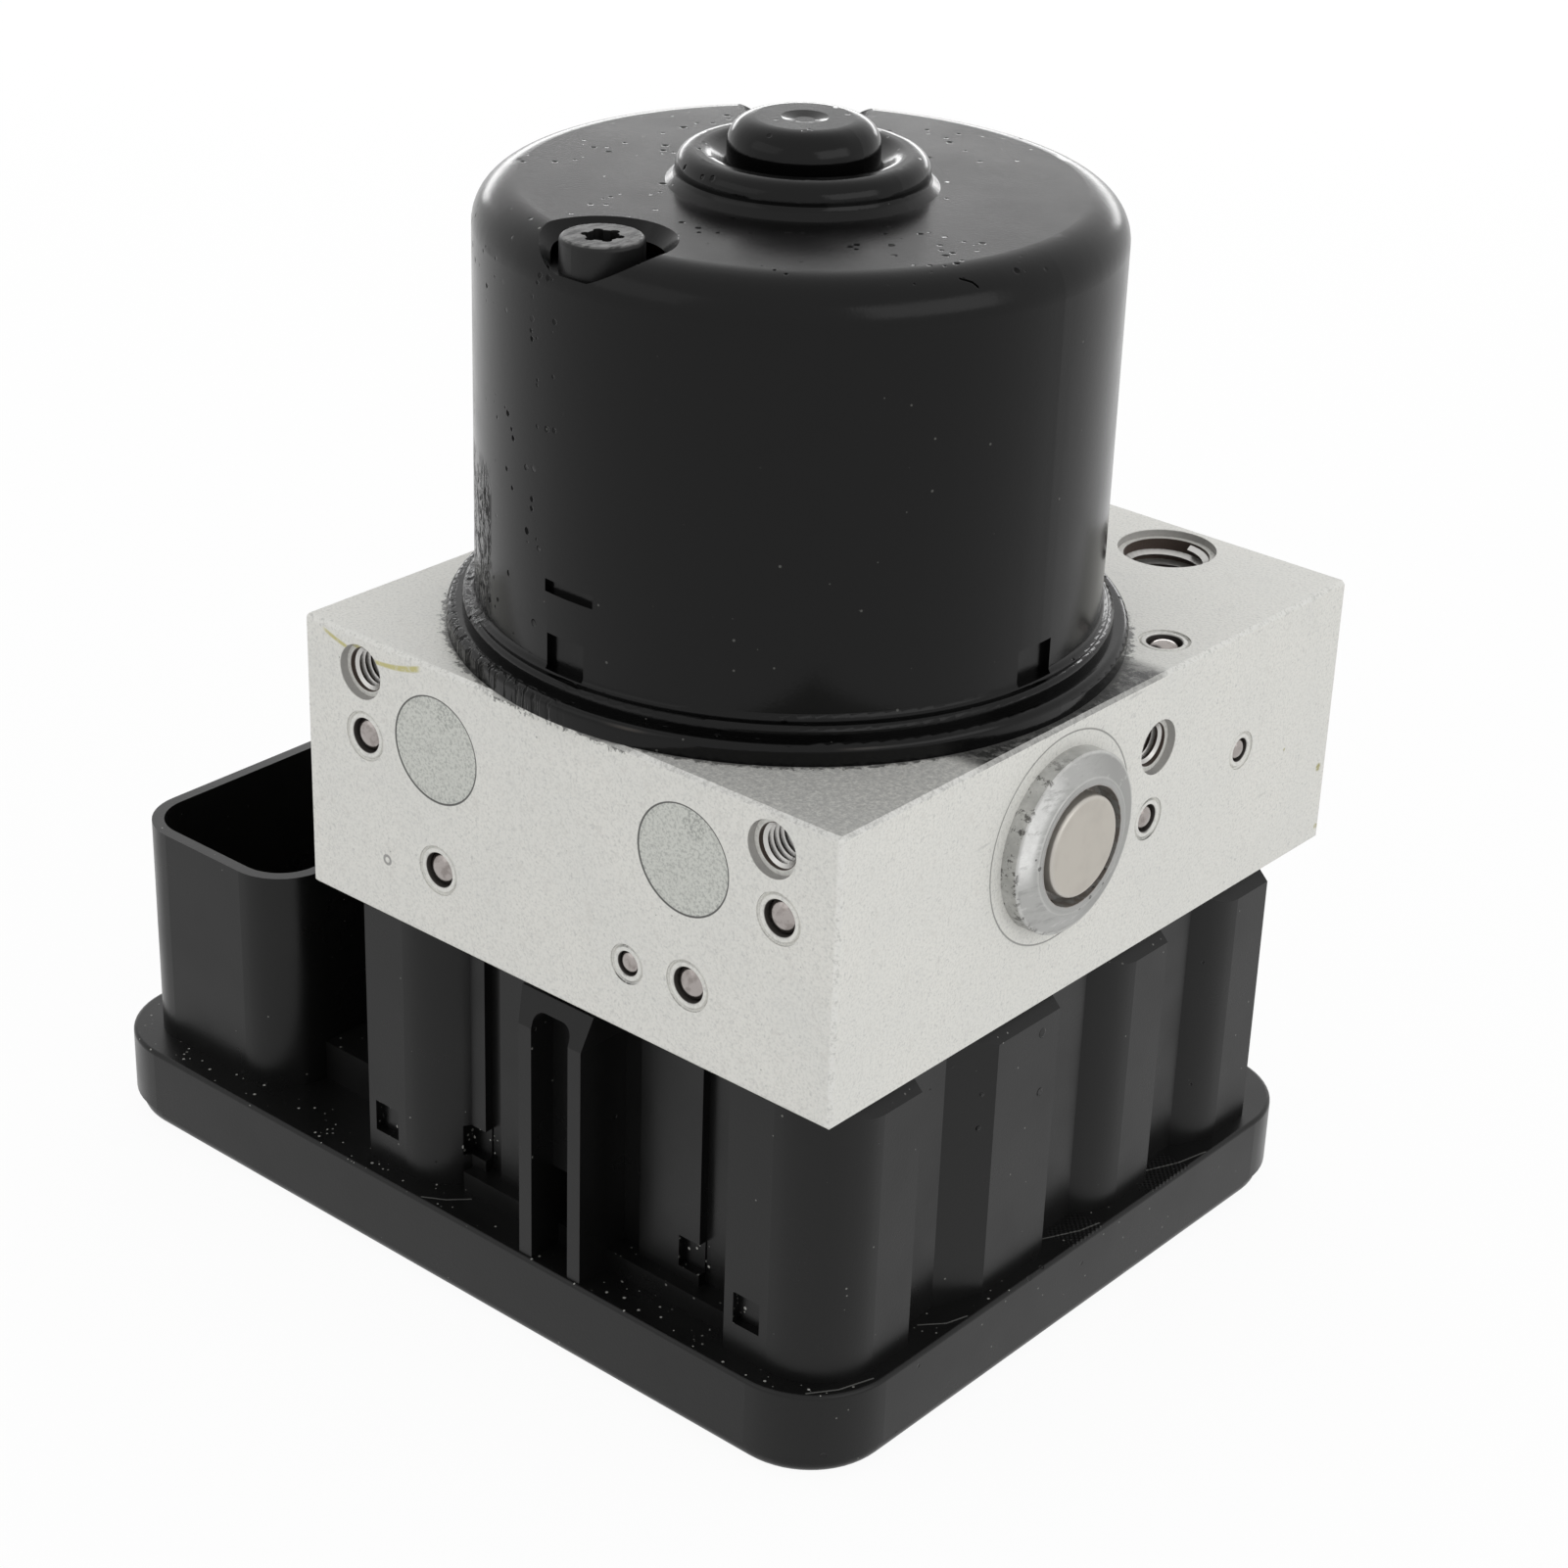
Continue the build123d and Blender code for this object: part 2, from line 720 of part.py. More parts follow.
def motor_terminals():
    """Two flat pins from the brush plate through the block to the circuit board."""
    half_x = terminal_size[0] / 2
    half_y = terminal_size[1] / 2
    pins = []
    for side in (-1, 1):
        x = motor_x + side * terminal_gap / 2
        y = motor_y + terminal_reach
        pins.append(box(x - half_x, x + half_x, y - half_y, y + half_y, board_top, block_top))
    return Compound(pins)


def rear_bearing():
    low = can_height + cap_rise - can_wall - rear_bearing_gap - rear_bearing_height
    return at_motor(ring(rear_bearing_radius, shaft_radius + running, rear_bearing_height, low))


def front_bearing():
    body = ring(bearing_radius, shaft_radius + running, bearing_height, -bearing_height)
    carrier = ring(eccentric_chamber, bearing_radius, bearing_carrier, -bearing_carrier)
    return at_motor(body + carrier)


def pin_places():
    """Centre and plan size of each connector pin."""
    places = []
    start = -(pin_count - 1) * pin_pitch / 2 + (blade_places[0] + blade_places[1]) / 2
    for x in pin_rows:
        for index in range(pin_count):
            places.append((x, start + index * pin_pitch, pin_size, pin_size))
    for y in blade_places:
        for x in (pin_rows[0], pin_rows[-1]):
            places.append((x, y, *blade_size))
    return places


def connector_pins():
    top = deck_z + pin_reach
    pins = [box(x - a / 2, x + a / 2, y - b / 2, y + b / 2, board_top, top) for x, y, a, b in pin_places()]
    return Compound(pins)


def housing_shell():
    """Base plate, coil chambers, socket, bridge, fins and ledges, before hollowing."""
    half = plate_depth / 2
    body = rounded_plate(-plate_reach_left, plate_reach_right, -half, half,
                         plate_corner, cover_height, rim_height)
    body = fillet(body.faces().sort_by(Axis.Z)[-1].edges(), plate_edge)
    body += Pos(0, 0, deck_z - deck_wall) * extrude(chamber_plan(), chamber_height + deck_wall)
    for x0, x1 in panel_spans:
        body += box(x0, x1, chamber_front - panel_rise, chamber_front + over, deck_z, housing_top)
    ledge_right = tower_right - tower_size + over
    ledge_left = chamber_left + tower_size - over
    body += box(ledge_left, ledge_right, ledge_front, chamber_front + over,
                deck_z - over, deck_z + ledge_height)
    body += fins()
    body += rounded_plate(socket_left, socket_right, socket_front, socket_back, socket_corner,
                          deck_z - over, socket_height + over)
    body += box(socket_right - socket_wall, chamber_left + over, bridge_front, socket_back - socket_corner,
                deck_z - over, deck_z + bridge_height)
    return body


def fins():
    """Two upright fins in front of the wall, joined by an arch, with a panel between.
    Their heads spread a little to the sides and lean back."""
    front = -plate_depth / 2 + plate_edge
    depth = chamber_front + over - front
    top = housing_top
    half = fin_thickness / 2
    x0 = fin_centre - fin_spread / 2
    x1 = fin_centre + fin_spread / 2
    neck = top - fin_head
    left = x0 - half
    right = x1 + half
    outline = Polyline((left, deck_z - over), (left, neck), (left - fin_flare, top),
                       (right + fin_flare, top), (right, neck), (right, deck_z - over), close=True)
    height = top - fin_bar - deck_z + 2 * over
    opening = Rectangle(fin_spread - fin_thickness, height)
    opening = fillet(opening.vertices().sort_by(Axis.Y)[-2:], fin_arch)
    plan = make_face(outline) - Pos(fin_centre, top - fin_bar - height / 2) * opening
    body = Pos(0, front + depth, 0) * extrude(Plane.XZ * plan, depth)
    lean = Polyline((front - over, neck), (front, neck), (front + fin_slope, top),
                    (front - over, top), close=True)
    width = right - left + 2 * (fin_flare + over)
    body -= Pos(fin_centre - width / 2, 0, 0) * extrude(Plane.YZ * make_face(lean), width)
    body += box(x0, x1, channel_back, front + depth, deck_z + channel_window, top)
    return body


def ecu_housing():
    body = housing_shell()
    # Bevelled heads of the right-hand towers
    for y in tower_rows:
        wedge = Polyline((tower_right - tower_bevel, housing_top), (tower_right + over, housing_top),
                         (tower_right + over, housing_top - tower_bevel - over), close=True)
        cut = extrude(Plane.XZ * make_face(wedge), tower_size + clear)
        body -= Pos(0, y + (tower_size + clear) / 2, 0) * cut
    # Tray under the deck and the room inside the coil chambers
    half = plate_depth / 2 - rim_wall
    body -= rounded_plate(-plate_reach_left + rim_wall, plate_reach_right - rim_wall, -half, half,
                          plate_corner - rim_wall, cover_height, rim_height - deck_wall)
    room = chamber_plan(chamber_wall)
    body -= Pos(0, 0, cover_height) * extrude(room, roof_under - cover_height)
    # Connector socket, open at the top, and the pins moulded into its floor
    w = socket_wall
    body -= rounded_plate(socket_left + w, socket_right - w, socket_front + w, socket_back - w,
                          socket_corner - w, deck_z, socket_height)
    for x, y, a, b in pin_places():
        body -= box(x - a / 2, x + a / 2, y - b / 2, y + b / 2,
                    deck_z - deck_wall - over, deck_z + over)
    # Holes in the roof for valve tubes, screws and motor terminals
    for x, y in valve_places:
        body -= Pos(x, y, 0) * rod(valve_tube_radius + clear, chamber_roof, roof_under)
    for x, y in housing_screw_places:
        body -= Pos(x, y, 0) * rod(housing_screw_radius + clear, chamber_roof, roof_under)
    body -= Pos(motor_x, motor_y + terminal_reach, 0) * rod(terminal_bore, chamber_roof, roof_under)
    # Square slots near the foot of the front walls
    for x in tower_slots:
        body -= drain_slot(x, tower_front)
    for x in wall_slots:
        body -= drain_slot(x, chamber_front - panel_rise)
    return body


def drain_slot(x, front):
    low = deck_z + slot_above_deck - slot_height / 2
    return box(x - slot_width / 2, x + slot_width / 2, front - over, front + slot_recess,
               low, low + slot_height)


def housing_gasket():
    plan = chamber_plan(gasket_inset) - chamber_plan(gasket_inset + gasket_width)
    return Pos(0, 0, housing_top) * extrude(plan, gasket_thickness)


def bottom_cover():
    inset = cover_inset
    half = plate_depth / 2 - inset
    body = rounded_plate(-plate_reach_left + inset, plate_reach_right - inset, -half, half,
                         plate_corner - inset, 0, cover_height)
    body = fillet(body.faces().sort_by(Axis.Z)[0].edges(), cover_edge)
    gap = rim_wall + clear
    side = plate_depth / 2 - gap
    tongue = rounded_plate(-plate_reach_left + gap, plate_reach_right - gap, -side, side,
                           plate_corner - gap, cover_height, tongue_height)
    gap += tongue_wall
    side = plate_depth / 2 - gap
    tongue -= rounded_plate(-plate_reach_left + gap, plate_reach_right - gap, -side, side,
                            plate_corner - gap, cover_height, tongue_height)
    for x, y in board_posts():
        body += Pos(x, y, 0) * rod(board_post_radius, board_gap, cover_height)
    return body + tongue


def board_posts():
    left = -plate_reach_left + board_post_inset
    right = plate_reach_right - board_post_inset
    reach = plate_depth / 2 - board_post_inset
    return [(x, y) for x in (left, right) for y in (-reach, reach)]


def circuit_board():
    gap = board_margin
    side = plate_depth / 2 - gap
    return rounded_plate(-plate_reach_left + gap, plate_reach_right - gap, -side, side,
                         plate_corner - gap, board_z, board_thickness)


def housing_screws():
    screws = []
    for x, y in housing_screw_places:
        head = rod(housing_screw_head, housing_screw_head_height, roof_under - housing_screw_head_height)
        shank = rod(housing_screw_radius, block_z + housing_screw_grip - roof_under, roof_under)
        screws.append(Pos(x, y, 0) * (head + shank))
    return Compound(screws)


def motor_seal():
    outer = can_radius - can_wall
    return at_motor(ring(outer, outer - clear - seal_size, seal_size, brush_plate_thickness))


nodes = {
    "valve_block": valve_block(),
    "ball_plugs": ball_plugs(),
    "motor_can": motor_can(),
    "motor_screws": motor_screws(),
    "motor_seal": motor_seal(),
    "magnets": magnets(),
    "motor_shaft": motor_shaft(),
    "armature_core": armature_core(),
    "armature_windings": armature_windings(),
    "commutator": commutator(),
    "brush_plate": brush_plate(),
    "motor_terminals": motor_terminals(),
    "rear_bearing": rear_bearing(),
    "front_bearing": front_bearing(),
    "eccentric_ring": eccentric_ring(),
    "valve_cartridges": Compound([valve_cartridge(x, y) for x, y in valve_places]),
    "valve_coils": Compound([valve_coil(x, y) for x, y in valve_places]),
    "ecu_housing": ecu_housing(),
    "housing_gasket": housing_gasket(),
    "housing_screws": housing_screws(),
    "circuit_board": circuit_board(),
    "connector_pins": connector_pins(),
    "bottom_cover": bottom_cover(),
}
for side, name in ((-1, "left"), (1, "right")):
    nodes["pump_plug_" + name] = pump_plug(side)
    nodes["plug_disc_" + name] = plug_disc(side)
    nodes["pump_piston_" + name] = pump_piston(side)
    nodes["piston_spring_" + name] = piston_spring(side)
    piston, spring, cover = accumulator_parts(side)
    nodes["accumulator_piston_" + name] = piston
    nodes["accumulator_spring_" + name] = spring
    nodes["accumulator_cover_" + name] = cover
for side, name in ((0, "right"), (180, "left")):
    nodes["brush_" + name] = brush(side)
    nodes["brush_spring_" + name] = brush_spring(side)
for index, (x, y) in enumerate(valve_places, start=1):
    nodes["valve_plunger_" + str(index)] = valve_plunger(x, y)

for name, shape in nodes.items():
    export_step(shape, os.path.join("parts", name + ".step"))
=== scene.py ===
# %% [markdown]
# An anti-lock brake module: a pump motor in a black painted can stands on a pale
# aluminium valve block, and a black moulded control housing hangs under the block.
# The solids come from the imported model. This lesson gives them their finishes and
# adds what is too fine for the solids, such as threads and scribed lines.

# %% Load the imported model
import math
import bmesh
import bpy
from mathutils import Matrix, Vector


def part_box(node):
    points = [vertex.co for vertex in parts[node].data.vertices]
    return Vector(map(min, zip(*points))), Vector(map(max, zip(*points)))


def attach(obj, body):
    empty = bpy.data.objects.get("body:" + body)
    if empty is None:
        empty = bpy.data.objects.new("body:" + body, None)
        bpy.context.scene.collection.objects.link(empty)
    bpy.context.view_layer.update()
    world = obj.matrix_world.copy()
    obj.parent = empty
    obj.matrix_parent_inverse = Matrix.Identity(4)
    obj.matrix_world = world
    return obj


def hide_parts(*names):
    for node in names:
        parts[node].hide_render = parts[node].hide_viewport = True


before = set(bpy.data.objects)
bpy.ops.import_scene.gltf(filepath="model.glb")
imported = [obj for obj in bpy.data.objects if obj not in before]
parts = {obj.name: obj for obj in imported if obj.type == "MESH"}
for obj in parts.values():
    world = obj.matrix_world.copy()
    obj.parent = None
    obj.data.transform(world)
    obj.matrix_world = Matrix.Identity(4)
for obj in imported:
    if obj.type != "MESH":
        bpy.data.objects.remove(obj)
bpy.context.scene.view_settings.view_transform = "Standard"
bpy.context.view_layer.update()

# %% [markdown]
# The stains, the threads and the ball caps all sit at the same holes, so the places
# are named once, in metres. A place on the front is across and up from the block's
# underside, one on the side is back and up, and one on top is across and back. The
# balls have their radius as a third value. The block itself gives its own corners.

# %% Places on the block
block_low, block_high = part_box("valve_block")
block_height = block_high.z - block_low.z
motor = (-0.0002, -0.0102)
pump_up = 0.0240
pump_z = block_low.z + pump_up
cover_across = 0.0217
cover_up = 0.0284
small_ball, middle_ball, large_ball = 0.00165, 0.0019, 0.0024
front_balls = [(-0.0352, 0.0259, large_ball), (0.0372, 0.0261, large_ball),
               (-0.0216, 0.0108, large_ball), (0.0228, 0.0111, large_ball),
               (0.0125, 0.0101, small_ball)]
side_balls = [(0.0097, 0.0194, middle_ball), (0.0312, 0.0220, small_ball)]
top_ball = (0.0403, 0.0194, large_ball)
front_mount = (0.0358, 0.0350)
side_mount = (0.0107, 0.0296)
port = (0.0220, 0.0461)
wheel_near, wheel_far, wheel_up = 0.0130, 0.0360, 0.0200
mount_bore, port_bore, wheel_bore = 0.0030, 0.0060, 0.0050
mount_mouth, port_mouth, wheel_mouth = 0.00385, 0.0070, 0.0060
deck_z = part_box("ecu_housing")[0].z + 0.0101
print("block height", round(block_height * 1000, 1), "mm, deck at", round(deck_z * 1000, 1), "mm")

# %% [markdown]
# The camera stands to the right and in front, a little above the motor, and looks
# down by about 26 degrees with a slight roll. Its place was worked out from the
# block's corners, so it is written as three axes and a point, not aimed by hand.

# %% Camera
camera_data = bpy.data.cameras.new("camera")
camera_data.sensor_width = 36.0
camera_data.lens = 76.634
camera = bpy.data.objects.new("camera", camera_data)
side = Vector((0.755817, 0.654018, 0.031641))
up = Vector((-0.313434, 0.318948, 0.894445))
back = Vector((0.574891, -0.685954, 0.446057))
stand = Vector((0.26241, -0.32304, 0.27406))
axes = Matrix((side, up, back)).transposed().to_4x4()
camera.matrix_world = Matrix.Translation(stand) @ axes
bpy.context.scene.collection.objects.link(camera)
bpy.context.scene.camera = camera
print("camera at", [round(v, 3) for v in camera.matrix_world.translation])

# %% [markdown]
# Each finish is a small tree of nodes that reads the object's own coordinates, in
# metres. Wiring every node by hand would fill pages, so a kit makes a node, sets its
# values and links what is handed to it. Its first half makes masks, which are values
# from 0 to 1 that say where something shows.

# %% A kit for masks
class Masks:
    """Works out values over a surface, with nodes in the tree of one material."""

    def __init__(self, tree):
        self.tree = tree
        self.place = tree.nodes.new("ShaderNodeTexCoord").outputs["Object"]
        self.x, self.y, self.z = self.wire("ShaderNodeSeparateXYZ", {0: self.place}).outputs
        facing = tree.nodes.new("ShaderNodeNewGeometry").outputs["Normal"]
        self.nx, self.ny, self.nz = self.wire("ShaderNodeSeparateXYZ", {0: facing}).outputs

    def wire(self, kind, inputs, **settings):
        """A new node, whose inputs are linked to sockets or set to values."""
        node = self.tree.nodes.new(kind)
        for key, value in settings.items():
            setattr(node, key, value)
        for key, value in inputs.items():
            if isinstance(value, bpy.types.NodeSocket):
                self.tree.links.new(value, node.inputs[key])
            else:
                node.inputs[key].default_value = value
        return node

    def calc(self, operation, a, b=0.0, c=0.0):
        """A sum with up to three values, under Blender's own name for it."""
        return self.wire("ShaderNodeMath", {0: a, 1: b, 2: c}, operation=operation).outputs[0]

    def vector_calc(self, operation, a, b, output="Vector"):
        node = self.wire("ShaderNodeVectorMath", {0: a, 1: b}, operation=operation)
        return node.outputs[output]

    def step(self, value, start, end, low=0.0, high=1.0):
        """Goes softly from low to high while the value goes from start to end."""
        values = {"Value": value, "From Min": start, "From Max": end, "To Min": low, "To Max": high}
        return self.wire("ShaderNodeMapRange", values, interpolation_type="SMOOTHSTEP").outputs[0]

    def fade(self, value, start, end):
        return self.step(value, start, end, 1.0, 0.0)

    def within(self, value, low, high, soft=0.0002):
        rise = self.step(value, low - soft, low + soft)
        return self.calc("MULTIPLY", rise, self.fade(value, high - soft, high + soft))

    def all_of(self, *masks):
        """Where every mask shows. A plain number in the row weakens the result."""
        result = masks[0]
        for mask in masks[1:]:
            result = self.calc("MULTIPLY", result, mask)
        return result

    def any_of(self, *masks):
        """Where at least one of the masks shows."""
        result = masks[0]
        for mask in masks[1:]:
            result = self.calc("MAXIMUM", result, mask)
        return result

    def noise(self, per_metre, detail=3.0, rough=0.5, stretch=None):
        place = self.vector_calc("MULTIPLY", self.place, stretch) if stretch else self.place
        values = {"Vector": place, "Scale": per_metre, "Detail": detail, "Roughness": rough}
        return self.wire("ShaderNodeTexNoise", values).outputs[0]

    def dots(self, per_metre, size, share):
        """Round specks: size in metres, in that share of the cells."""
        cells = self.wire("ShaderNodeTexVoronoi", {"Vector": self.place, "Scale": per_metre})
        chance = self.wire("ShaderNodeSeparateColor", {0: cells.outputs["Color"]}).outputs
        reach = self.calc("MULTIPLY", chance[0], size * per_metre)
        near = self.calc("SUBTRACT", reach, cells.outputs["Distance"])
        mask = self.step(near, 0.0, 0.25 * size * per_metre)
        return self.calc("MULTIPLY", mask, self.calc("LESS_THAN", chance[1], share))

    def radius(self, a, b, centre):
        """Distance from a centre in the plane of two coordinates."""
        da = self.calc("SUBTRACT", a, centre[0])
        db = self.calc("SUBTRACT", b, centre[1])
        squares = self.calc("ADD", self.calc("MULTIPLY", da, da), self.calc("MULTIPLY", db, db))
        return self.calc("SQRT", squares)

    def line(self, away, width):
        """A line of that width with soft sides, from the distance to its middle."""
        return self.fade(away, 0.35 * width, 0.65 * width)

    def ring(self, a, b, centre, radius, width):
        away = self.calc("ABSOLUTE", self.calc("SUBTRACT", self.radius(a, b, centre), radius))
        return self.line(away, width)

    def hair(self, points, width):
        """A thin line through points of the ground plan, in metres."""
        flat = self.vector_calc("MULTIPLY", self.place, (1.0, 1.0, 0.0))
        lines = []
        for start, end in zip(points, points[1:]):
            start = Vector((*start, 0.0))
            run = Vector((*end, 0.0)) - start
            away = self.vector_calc("SUBTRACT", flat, start)
            share = self.vector_calc("DOT_PRODUCT", away, run / run.length_squared, "Value")
            share = self.wire("ShaderNodeClamp", {"Value": share}).outputs[0]
            along = self.wire("ShaderNodeVectorMath", {0: run, "Scale": share}, operation="SCALE")
            gap = self.vector_calc("DISTANCE", away, along.outputs["Vector"], "Value")
            lines.append(self.line(gap, width))
        return self.any_of(*lines)


print("masks ready")

# %% A kit for finishes
class Finish(Masks):
    """One material in the making: its colour, its relief and its shader."""

    def __init__(self, name, color, roughness=0.5, metallic=0.0, specular=0.5):
        self.material = bpy.data.materials.new(name)
        self.material.use_nodes = True
        super().__init__(self.material.node_tree)
        self.shader = self.tree.nodes["Principled BSDF"]
        self.shader.inputs["Base Color"].default_value = (*color, 1.0)
        self.shader.inputs["Roughness"].default_value = roughness
        self.shader.inputs["Metallic"].default_value = metallic
        self.shader.inputs["Specular IOR Level"].default_value = specular
        self.color = None
        self.height = None

    def tint(self, mask, color, share=1.0):
        """Lays a colour over what is there, where the mask shows."""
        mask = mask if share == 1.0 else self.calc("MULTIPLY", mask, share)
        under = self.color or tuple(self.shader.inputs["Base Color"].default_value)
        values = {0: mask, 6: under, 7: (*color, 1.0)}
        self.color = self.wire("ShaderNodeMix", values, data_type="RGBA").outputs[2]

    def raise_by(self, mask, metres):
        """Adds relief to the surface, up or down by so many metres."""
        relief = self.calc("MULTIPLY", mask, metres)
        self.height = relief if self.height is None else self.calc("ADD", self.height, relief)

    def done(self, roughness=None, specular=None):
        """Links the colour, the relief and what else varies, and gives the material."""
        links = {"Base Color": self.color, "Roughness": roughness, "Specular IOR Level": specular}
        if self.height is not None:
            bump = self.wire("ShaderNodeBump", {"Height": self.height, "Distance": 1.0, "Strength": 1.0})
            links["Normal"] = bump.outputs[0]
        for name, socket in links.items():
            if socket is not None:
                self.tree.links.new(socket, self.shader.inputs[name])
        return self.material


def dress(material, *names):
    """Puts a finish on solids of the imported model."""
    for name in names:
        parts[name].data.materials.clear()
        parts[name].data.materials.append(material)
    print(material.name, "on", ", ".join(names))


# %% [markdown]
# The floor is a wide pale sheet. The photograph's ground is pure white, with only a
# soft shadow, so the sheet glows for rays from the eye and in reflections, and keeps
# a small share of its own shade under the module.

# %% Floor
floor_glow = 0.94
floor_size = 6.0
floor_drop = 0.00005


def seen_directly(tree):
    """1 for rays from the eye, in reflections and through glass, and 0 for light."""
    path = tree.nodes.new("ShaderNodeLightPath")
    seen = path.outputs["Is Camera Ray"]
    for kind in ("Is Glossy Ray", "Is Transmission Ray"):
        larger = tree.nodes.new("ShaderNodeMath")
        larger.operation = "MAXIMUM"
        tree.links.new(seen, larger.inputs[0])
        tree.links.new(path.outputs[kind], larger.inputs[1])
        seen = larger.outputs[0]
    return seen


paper = Finish("white_paper", (0.92, 0.92, 0.92), roughness=0.9, specular=0.0)
glow = paper.wire("ShaderNodeEmission", {"Color": (1.0, 1.0, 1.0, 1.0)})
glow_share = paper.calc("MULTIPLY", seen_directly(paper.tree), floor_glow)
shaders = {0: glow_share, 1: paper.shader.outputs[0], 2: glow.outputs[0]}
mixed = paper.wire("ShaderNodeMixShader", shaders)
paper.tree.links.new(mixed.outputs[0], paper.tree.nodes["Material Output"].inputs["Surface"])
shape = bmesh.new()
bmesh.ops.create_grid(shape, x_segments=1, y_segments=1, size=floor_size)
bmesh.ops.translate(shape, vec=(0, 0, -floor_drop), verts=shape.verts)
floor_mesh = bpy.data.meshes.new("floor")
shape.to_mesh(floor_mesh)
shape.free()
floor_mesh.materials.append(paper.material)
floor = bpy.data.objects.new("floor", floor_mesh)
bpy.context.scene.collection.objects.link(floor)
print("floor laid,", 2 * floor_size, "m wide")

# %% [markdown]
# The light is a plain studio: a pale room all round that shows as white in glossy
# surfaces, two soft boxes in front, one for each visible face, and a low one behind
# that lies as a sheen on the top of the can. The room gives a little less light than
# it shows, so that the pale faces keep their shape.

# %% Light
room_light = 0.80
room = bpy.data.worlds.new("room")
bpy.context.scene.world = room
room.use_nodes = True
room_level = room.node_tree.nodes.new("ShaderNodeMapRange")
room_level.inputs["To Min"].default_value = room_light
room_level.inputs["To Max"].default_value = 1.0
room.node_tree.links.new(seen_directly(room.node_tree), room_level.inputs["Value"])
backdrop = room.node_tree.nodes["Background"]
backdrop.inputs["Color"].default_value = (1.0, 1.0, 1.0, 1.0)
room.node_tree.links.new(room_level.outputs[0], backdrop.inputs["Strength"])
aim = Vector((0.0, -0.01, 0.10))


def soft_box(name, place, width, height, radiance):
    """A lamp with an even face that looks at the module."""
    lamp = bpy.data.lights.new(name, "AREA")
    lamp.shape = "RECTANGLE"
    lamp.size = width
    lamp.size_y = height
    lamp.energy = radiance * math.pi * width * height
    box = bpy.data.objects.new(name, lamp)
    box.location = place
    box.rotation_euler = (aim - Vector(place)).to_track_quat("-Z", "Y").to_euler()
    bpy.context.scene.collection.objects.link(box)
    print(name, "energy", round(lamp.energy, 2))


soft_box("left_box", (-0.35, -0.80, 0.62), width=0.8, height=0.5, radiance=0.36)
soft_box("right_box", (0.85, -0.05, 0.50), width=0.8, height=0.5, radiance=1.05)
soft_box("back_box", (-0.60, 0.72, 0.25), width=1.1, height=0.14, radiance=3.6)

# %% [markdown]
# The valve block is extruded aluminium, machined and lightly blasted. It is pale,
# matte and finely speckled. Four noises from fine to wide give the speckle, because
# one alone would look like sand. Three masks say which way the surface faces.

# %% Valve block
block = Finish("pale_aluminium", (0.738, 0.732, 0.692), roughness=0.5, metallic=0.12)
block_x = block.calc("ABSOLUTE", block.x)
block_y = block.calc("ABSOLUTE", block.y)
block_z = block.calc("SUBTRACT", block.z, block_low.z)
top = block.step(block.nz, 0.5, 0.9)
front = block.fade(block.ny, -0.9, -0.5)
right = block.step(block.nx, 0.5, 0.9)
grain = block.noise(2600.0, detail=2.0, rough=0.6)
coarse = block.noise(1300.0, detail=3.0, rough=0.75)
cloud = block.noise(70.0, detail=3.0)
blotches = block.noise(600.0, detail=5.0, rough=0.7)
block.tint(block.step(grain, 0.40, 0.70, 0.0, 0.55), (0.56, 0.56, 0.53))
block.tint(block.step(coarse, 0.56, 0.74, 0.0, 0.5), (0.44, 0.44, 0.43))
block.tint(block.step(coarse, 0.20, 0.36, 0.6, 0.0), (0.83, 0.83, 0.80))
block.tint(block.step(cloud, 0.3, 0.8, 0.0, 0.25), (0.62, 0.63, 0.61))
block.tint(block.step(blotches, 0.54, 0.72, 0.0, 0.45), (0.59, 0.575, 0.54))
print("block with", len(block.tree.nodes), "nodes of speckle")

# %% [markdown]
# The block's edges get a pale painted highlight along their rounding, and are darker
# where they were knocked. An edge is where two of the three outer faces are near, and
# the coarse noise shifts that distance a little, so that highlight and marks are ragged.

# %% Block edges
edge_start, edge_end = 0.0008, 0.0004
edge_shift = block.calc("MULTIPLY_ADD", coarse, 0.0009, -0.00045)
near_faces = []
for reach, face in ((block_x, block_high.x), (block_y, block_high.y), (block_z, block_height)):
    ragged = block.calc("ADD", reach, edge_shift)
    near_faces.append(block.step(ragged, face - edge_start, face - edge_end))
near_x, near_y, near_top = near_faces
edges = block.any_of(block.all_of(near_x, near_y), block.all_of(near_x, near_top),
                     block.all_of(near_y, near_top))
# Painted highlight: the pale tint along the edges stands in for light on their rounding.
block.tint(block.all_of(edges, block.step(coarse, 0.60, 0.45, 0.0, 0.35)), (0.82, 0.82, 0.80))
block.tint(block.all_of(edges, block.step(coarse, 0.52, 0.66, 0.0, 0.35)), (0.50, 0.50, 0.48))
print("edges worn over", edge_start * 1000, "mm")

# %% [markdown]
# Stains and painted shade sit where the photograph has them. The right front corner of
# the top is darker and grainy: painted shade, with a painted reflection of the can. Beside
# the flange lies a dark patch that is partly soot and partly painted shadow of the flange,
# and a narrow painted shadow runs along the flange's foot and over the front edge, under
# the flange.

# %% Block soot and painted shade
corner = block.radius(block.x, block.y, (0.034, -0.052))
corner_shade_and_reflection = block.all_of(top, block.fade(corner, 0.016, 0.046))
